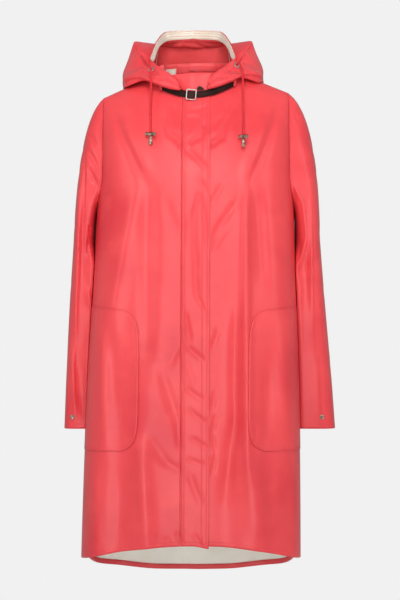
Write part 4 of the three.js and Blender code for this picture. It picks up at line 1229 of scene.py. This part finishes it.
cloth("coat_neck_tape", neck_band(np.linspace(108, 252, 80), 3.0, -13, 1.5, 8)[::-1], [coral_film],
      ["neck_tape"], thickness=1.0, stitches=both_edges(2))
cloth("coat_label", neck_band(np.linspace(216, 240, 22), 4.9, -15, -1, 8)[::-1], [tape_twill],
      ["neck_label"], thickness=0.7,
      stitches=lambda u, v: nearest_stitch([(u - 1.2, v), (u[-1:] - u - 1.2, v), (v[:, -1:] - v - 1.2, u)]))
cloth("coat_hanger_loop", neck_band(np.linspace(132, 192, 50), 4.9, -9, -0.5, 8)[::-1], [coral_film],
      ["hanger_loop"], thickness=1.2, stitches=both_edges(2))

# %% [markdown]
# ## Strap and buckle
#
# A leather strap lies across the neck opening. It is upright, so it clears the strip at its lower
# edge. Two short coral keepers hold its ends under the hood.

# %% Strap
STRAP_END = 71.0
STRAP_END_LEFT = 78.0
STRAP_WIDTH = 13.0
STRAP_MIDDLE, STRAP_RISE = -51.0, 22.0
STRAP_STANDOFF = 5.5
BUCKLE_X = -9.0


def strap_point(x, up, out=0.0):
    """Middle height: STRAP_MIDDLE + STRAP_RISE (x / NECK_HALF_WIDTH)^2. Depth: that of the cloth at
    the strap's lower edge, plus its stand-off."""
    x, up = np.broadcast_arrays(np.asarray(x, float), np.asarray(up, float))
    middle = STRAP_MIDDLE + STRAP_RISE * (x / NECK_HALF_WIDTH) ** 2
    depth = body_depth(x, middle - STRAP_WIDTH / 2, True, False) + STRAP_STANDOFF + out
    return np.stack([x, -depth, middle + up], -1)


def strap_piece(name, start, end, node):
    """A length of leather with rounded edges, which ripples a little along its way."""
    x = np.linspace(start, end, 70)[:, None]
    up = np.linspace(-STRAP_WIDTH / 2, STRAP_WIDTH / 2, 12)[None, :]
    ripple = 0.25 * np.sin(x * 0.16) - 0.35 * (2 * up / STRAP_WIDTH) ** 6
    piece = cloth(name, strap_point(x, up, ripple), [leather], [node], thickness=2.0,
                  stitches=both_edges(1.6))
    soften = piece.modifiers.new("rounded_edges", "BEVEL")
    soften.width = 0.4 * MM
    soften.segments = 2
    soften.limit_method = "ANGLE"


strap_piece("coat_strap_right", -STRAP_END, BUCKLE_X - 1, "neck_strap_right")
strap_piece("coat_strap_left", BUCKLE_X - 0.7, STRAP_END_LEFT, "neck_strap_left")
for name, side, end in (("coat_strap_keeper_right", -1, STRAP_END),
                        ("coat_strap_keeper_left", 1, STRAP_END_LEFT)):
    x = face_out(np.linspace(end - 5, end, 6)[:, None] * side, side)
    cloth(name, strap_point(x, np.linspace(-7.5, 7, 12)[None, :], 1.9), [coral_film],
          [name.replace("coat_", "")], thickness=1.1, stitches=lambda u, v: nearest_stitch([(u - 1.2, v)]))

# %% [markdown]
# ### Turned and bent metal
#
# Round pieces are a profile turned round an axis. The buckle's frame is a small rounded section
# carried round a rectangle with round corners.

# %% Turned pieces


def frame_of(direction):
    """The direction and two more across it, square to each other, each one long."""
    direction = np.asarray(direction, float) / np.linalg.norm(direction)
    side = np.cross(direction, [0, 0, 1] if abs(direction[2]) < 0.9 else [0, 1, 0])
    side = side / np.linalg.norm(side)
    return direction, side, np.cross(direction, side)


def rounded(profile, steps=5):
    """Cuts each inner corner of a profile with a short curve."""
    profile = np.asarray(profile, float)
    rows = [profile[:1]]
    for before, corner, after in zip(profile[:-2], profile[1:-1], profile[2:]):
        near = min(0.45, 0.35 / max(np.linalg.norm(corner - before), 1e-6))
        far = min(0.45, 0.35 / max(np.linalg.norm(after - corner), 1e-6))
        start, end = corner + (before - corner) * near, corner + (after - corner) * far
        t = np.linspace(0, 1, steps)[:, None]
        rows.append((1 - t) ** 2 * start + 2 * t * (1 - t) * corner + t * t * end)
    return np.concatenate(rows + [profile[-1:]])


def turned(name, profile, place, direction, material, nodes, slot, ring=False, segments=48):
    """point = place + direction * height + radius * (side cos a + other sin a)."""
    profile = rounded(np.asarray(profile + [profile[0]] if ring else profile, float))
    direction, side, other = frame_of(direction)
    angle = np.arange(segments) / segments * 2 * math.pi
    circle = np.cos(angle)[:, None, None] * side + np.sin(angle)[:, None, None] * other
    points = place + profile[None, :, 1:] * direction + profile[None, :, :1] * circle
    faces = grid_faces(segments, len(profile), True)[:, ::-1]
    points = points.reshape(-1, 3)
    piece = build_mesh(name, points, faces, [material], np.zeros((len(points), 2)))
    weld(piece)
    finish_piece(piece, nodes)
    return piece


print("a square profile's rounded corners take", len(rounded([(0, 0), (4, 0), (4, 4), (0, 4)])), "points")

# %% Buckle
TILT = math.radians(4.8)
BUCKLE_WIDTH, BUCKLE_HEIGHT, BUCKLE_CORNER = 17.7, 19.2, 1.8
BUCKLE_THICKNESS, BUCKLE_SIDES = 1.15, 20


def standing(points, centre, tilt):
    """Turns flat points (x across, y up, z out) to stand in the strap's plane, facing the front."""
    x, y, out = np.moveaxis(points, -1, 0)
    across = x * math.cos(tilt) + y * math.sin(tilt)
    up = y * math.cos(tilt) - x * math.sin(tilt)
    return centre + np.stack([across, -out, up], -1)


def rounded_loop(width, height, radius, steps=10):
    """Corner arcs joined by straight sides, as a closed line."""
    corners = [(1, -1, -90), (1, 1, 0), (-1, 1, 90), (-1, -1, 180)]
    parts = []
    for sx, sy, start in corners:
        angle = np.radians(start + np.linspace(0, 90, steps))
        centre = np.array([sx * (width / 2 - radius), sy * (height / 2 - radius)])
        parts.append(centre + radius * np.stack([np.cos(angle), np.sin(angle)], -1))
    return np.concatenate(parts)


buckle_at = hang(strap_point(BUCKLE_X, -0.6, 1.5))
line = rounded_loop(BUCKLE_WIDTH, BUCKLE_HEIGHT, BUCKLE_CORNER)
ahead = np.roll(line, -1, 0) - np.roll(line, 1, 0)
outward = np.stack([ahead[:, 1], -ahead[:, 0]], -1) / np.linalg.norm(ahead, axis=-1, keepdims=True)
angle = np.linspace(0, 2 * math.pi, BUCKLE_SIDES, endpoint=False)
bulge = signed_power(np.stack([np.cos(angle), np.sin(angle)], -1), 0.7)[None]
flat = line[:, None] + outward[:, None] * bulge[..., :1] * BUCKLE_THICKNESS
depth = np.broadcast_to(BUCKLE_THICKNESS + 1.1 * bulge[..., 1:], (len(line), BUCKLE_SIDES, 1))
ring = standing(np.concatenate([flat, depth], -1), buckle_at, TILT)
faces = tube_faces(len(line), BUCKLE_SIDES, True)
buckle = build_mesh("coat_buckle_frame", ring.reshape(-1, 3), faces, [nickel])
weld(buckle)
finish_piece(buckle, ["buckle_frame"])
print("buckle at", np.round(buckle_at, 1))

# %% Tip and tab of the strap


def plate(name, outline, thickness, centre, tilt, node):
    """A flat leather piece cut to an outline, with softened edges."""
    outline = np.asarray(outline, float)
    count = len(outline)
    flat = np.concatenate([np.c_[outline, np.zeros(count)], np.c_[outline, np.full(count, thickness)]])
    points = standing(flat, centre, tilt)
    mesh = bpy.data.meshes.new(name)
    rim = [(i, (i + 1) % count, count + (i + 1) % count, count + i) for i in range(count)]
    faces = [tuple(range(count)), tuple(range(count, 2 * count)), *rim]
    mesh.from_pydata((points * MM).tolist(), [], faces)
    mesh.materials.append(leather)
    piece = bpy.data.objects.new(name, mesh)
    bpy.context.scene.collection.objects.link(piece)
    weld(piece)
    soften = piece.modifiers.new("rounded_edges", "BEVEL")
    soften.width = 0.35 * MM
    soften.segments = 3
    finish_piece(piece, [node])


TIP = [(-5.5, 7), (-5.5, -4.5), (0, -7.9), (5.5, -4.5), (5.5, 7)]
TAB = [(-7, 0), (7.5, 0), (5, 3.5), (-2.5, 7.5), (-5.5, 5.5)]
tab_at = hang(strap_point(9.0, STRAP_WIDTH / 2 + 1.7, -0.2)) + [0, 1.8, 0]
plate("coat_strap_tip", TIP, 2.0, buckle_at, TILT, "neck_strap_tip")
plate("coat_strap_tab", TAB, 1.8, tab_at, 0.0, "neck_strap_tab")
print("tab at", np.round(tab_at, 1))

# %% [markdown]
# ## Drawcords, eyelets and toggles
#
# Each cord leaves the brim through an eyelet, falls over the hood's edge and lies on the chest.
# The barrel toggle grips it there, and a bell-shaped end finishes it.

# %% Cord routes
TOGGLE_RADIUS = 3.9
TOGGLE_LENGTH = 20.5
CORD_DIAMETER = 4.2
CORD_SIDES = 20
EYELET_ALONG = 6.1
EYELET = [(2.6, 0), (5.6, 0), (5.8, 0.5), (4.8, 1.3), (3.4, 1.4), (2.6, 0.9)]
HALF_BARREL = [(0, 0), (2.6, 0), (3.9, 1.2), (3.9, 3.4), (3.4, 4), (3.4, 5)]
BELL = [(0, 0), (2.9, 0), (3.3, 1), (2.9, 3), (3.1, 9), (3.9, 14), (3.9, 15.4), (2.2, 15.4), (1.8, 13.5),
        (0, 13.2)]
CORDS = [
    dict(hand="right", side=-1, x=-86.0, toggle=-127.3, turn=4.0, standoff=6.0, eyelet=62.0, reach=15.5),
    dict(hand="left", side=1, x=90.0, toggle=-137.5, turn=38.0, standoff=10.5, eyelet=69.0, reach=27.0),
]


def seat_on(surface, u, v, step):
    """A place on a surface and the unit vector straight out of it."""
    across = surface(u + step, v) - surface(u - step, v)
    upward = surface(u, v + step / 20) - surface(u, v - step / 20)
    out = np.cross(across, upward)
    return surface(u, v), out / np.linalg.norm(out)


def cord_route(cord):
    """Out of the eyelet, over the hood's edge, down the chest. Points before the coat's lean."""
    def brim(turn, along):
        return hood_grid([turn], np.array([along]), cord["side"])[0, 0]

    place, out = seat_on(brim, cord["eyelet"], EYELET_ALONG, 2.0)
    out = -out if out[2] < 0 else out
    points = [place + out * far for far in (1.2, 4.5, 8.0)]
    lip = points[2][1] - 8
    points.append(np.array([(cord["x"] + points[2][0]) / 2, lip - 6, points[2][2] - 6]))
    for z in np.linspace(points[3][2] - 14, cord["toggle"] + TOGGLE_RADIUS + 0.3, 8):
        chest = -float(body_depth(cord["x"], z - 16, True, False)) - cord["standoff"]
        points.append(np.array([cord["x"], min(lip - cord["reach"], chest), z]))
    return hang(np.array(points)), place, out


def cord_tube(name, path, radius, node):
    """A circle carried along the path, its frame turned as little as possible from ring to ring."""
    ahead = np.gradient(path, axis=0)
    ahead /= np.linalg.norm(ahead, axis=-1, keepdims=True)
    side = [np.cross(ahead[0], [0, 0, 1.0])]
    for direction in ahead[1:]:
        side.append(side[-1] - direction * (side[-1] @ direction))
    side = np.array(side) / np.linalg.norm(side, axis=-1, keepdims=True)
    other = np.cross(ahead, side)
    angle = np.arange(CORD_SIDES) / CORD_SIDES * 2 * math.pi
    swell = radius + 0.06 * np.sin(np.arange(len(path)) * 0.9)[:, None, None]
    circle = np.cos(angle)[None, :, None] * side[:, None] + np.sin(angle)[None, :, None] * other[:, None]
    points = path[:, None] + swell * circle
    length = np.r_[0, np.cumsum(np.linalg.norm(np.diff(path, axis=0), axis=-1))]
    uv = np.stack(np.broadcast_arrays(angle[None] * radius, length[:, None]), -1).reshape(-1, 2) * MM
    faces = tube_faces(len(path), CORD_SIDES)
    piece = build_mesh(name, points.reshape(-1, 3), faces, [cord_braid], uv)
    weld(piece, close_ends=True)
    finish_piece(piece, [node])
    return piece, length[-1]


print("cords", [cord["hand"] for cord in CORDS])

# %% Eyelets, cords and toggles
BARREL = HALF_BARREL + [(r, TOGGLE_LENGTH - h) for r, h in reversed(HALF_BARREL)]
for cord in CORDS:
    route, place, out = cord_route(cord)
    hand = cord["hand"]
    facing = out + [0, -0.7, 0]
    facing /= np.linalg.norm(facing)
    turned(f"coat_eyelet_{hand}", EYELET, hang(place + out * 2.4), facing, nickel, [f"eyelet_{hand}"],
           "bright_metal", ring=True)
    path = smooth_curve(route, np.linspace(0, len(route) - 1, 90))
    tube, length = cord_tube(f"coat_drawcord_{hand}", path, CORD_DIAMETER / 2, f"drawcord_{hand}")
    middle = route[-1] + [0, 0, -TOGGLE_RADIUS - 0.3]
    turn = math.radians(cord["turn"])
    axis = np.array([math.cos(turn), -math.sin(turn), 0])
    toggle = turned(f"coat_toggle_{hand}", BARREL, middle - axis * TOGGLE_LENGTH / 2, axis, aged,
                    [f"toggle_{hand}"], "aged_metal")
    end = turned(f"coat_toggle_end_{hand}", BELL, middle + [0, 0, -TOGGLE_RADIUS - 0.3], [0, 0, -1], aged,
                 [f"toggle_end_{hand}"], "aged_metal")
    tuple(route[0] * MM)
    (path * MM).tolist()
    print("drawcord", hand, round(length, 1), "mm")

# %% [markdown]
# ## Press studs
#
# A domed stud near each cuff narrows it.

# %% Studs
STUD = [(0, 0), (4.6, 0), (4.9, 0.6), (4.2, 1.5), (3.2, 1.6), (2.8, 1.2), (0, 1.1)]
STUD_ANGLE, STUD_HEIGHT = math.radians(83), -671.0
for hand, side in (("right", -1), ("left", 1)):
    def arm(angle, z, side=side):
        return arm_section(side, np.array(angle), np.array(z)) * [side, 1, 1]

    place, out = seat_on(arm, STUD_ANGLE, STUD_HEIGHT, 0.02)
    out = -out if out[1] > 0 else out
    turned(f"coat_cuff_stud_{hand}", STUD, hang(place + out * 0.4), out, aged, [f"cuff_stud_{hand}"],
           "aged_metal")
    print("stud", hand, "at", np.round(place, 1))

# %% [markdown]

# %% [markdown]
# ## Studio
#
# The coat hangs at the height where a wearer would hold it, so the floor is well below the hem. A
# pale surrounding light fills the folds, and large soft lights give the film its long sheens.

# %% Surrounding light
world = bpy.data.worlds.new("studio")
bpy.context.scene.world = world
world.use_nodes = True
nodes, links = world.node_tree.nodes, world.node_tree.links
surround = nodes["Background"]
surround.inputs["Color"].default_value = (0.95, 0.95, 0.96, 1)
surround.inputs["Strength"].default_value = 0.53
seen = nodes.new("ShaderNodeBackground")
seen.inputs["Color"].default_value = rgb(241, 241, 241)
mirrored = nodes.new("ShaderNodeBackground")
mirrored.inputs["Color"].default_value = (0.95, 0.93, 0.93, 1)
mirrored.inputs["Strength"].default_value = 0.36
around, mix, ray = (nodes.new("ShaderNode" + kind) for kind in ("MixShader", "MixShader", "LightPath"))
links.new(ray.outputs["Is Glossy Ray"], around.inputs[0])
links.new(surround.outputs[0], around.inputs[1])
links.new(mirrored.outputs[0], around.inputs[2])
links.new(ray.outputs["Is Camera Ray"], mix.inputs[0])
links.new(around.outputs[0], mix.inputs[1])
links.new(seen.outputs[0], mix.inputs[2])
links.new(mix.outputs[0], nodes["World Output"].inputs["Surface"])
print("surroundings at", round(surround.inputs["Strength"].default_value, 2))

# %% Lights


def soft_light(name, place, target, size, power, spread=180):
    """A large area light at a place, in metres, facing a target. The spread is in degrees."""
    data = bpy.data.lights.new(name, "AREA")
    data.shape, data.size, data.size_y, data.energy = "RECTANGLE", size[0], size[1], power
    data.spread = math.radians(spread)
    light = bpy.data.objects.new(name, data)
    forward = np.asarray(target, float) - place
    forward /= np.linalg.norm(forward)
    side = np.cross(forward, [0, 0, 1.0])
    side /= np.linalg.norm(side)
    up = np.cross(side, forward)
    rows = [[side[i], up[i], -forward[i], place[i]] for i in range(3)]
    light.matrix_world = Matrix(rows + [[0, 0, 0, 1]])
    bpy.context.scene.collection.objects.link(light)
    return light


soft_light("front", (0.0, -3.7, -0.2), (0, 0, -0.42), (1.9, 2.4), 31)
soft_light("key", (-2.3, -2.0, 0.9), (0, 0, -0.45), (1.0, 2.0), 16)
soft_light("fill", (2.3, -2.0, 0.8), (0, 0, -0.5), (1.0, 2.0), 15)
soft_light("neck", (0.0, -2.2, 1.1), (0, 0.06, 0.03), (0.8, 0.8), 3.4, 50).visible_glossy = False
behind = soft_light("behind", (1.5, 3.2, 0.9), (0, 0, -0.4), (0.9, 2.0), 18)
behind.visible_camera = behind.visible_glossy = False
soft_light("low", (0.0, -2.6, -1.1), (0, 0, -0.75), (1.6, 0.8), 5, 120).visible_glossy = False

# %% Floor and colours
FLOOR_Z = -1400.0
floor_angle = np.arange(96)[:, None] / 96 * 2 * math.pi
floor_radius = np.array([0.02, 0.8, 1.6, 2.3]) * 1000
floor_points = np.stack([np.cos(floor_angle) * floor_radius, np.sin(floor_angle) * floor_radius,
                         np.full((96, 4), FLOOR_Z)], -1)
floor_finish = Finish("pale_floor", Specular_IOR_Level=0.2)
floor_tone = floor_finish.blend(floor_finish.noise(3.0, 3.0), rgb(228, 228, 228), rgb(234, 234, 233))
floor_material = floor_finish.set(Base_Color=floor_tone, Roughness=0.8)
floor = build_mesh("studio_floor", floor_points.reshape(-1, 3), grid_faces(96, 4, True), [floor_material])

view = bpy.context.scene.view_settings
view.view_transform = "Standard"
view.look = "None"
print("floor at", FLOOR_Z, "mm and colours as", view.view_transform)
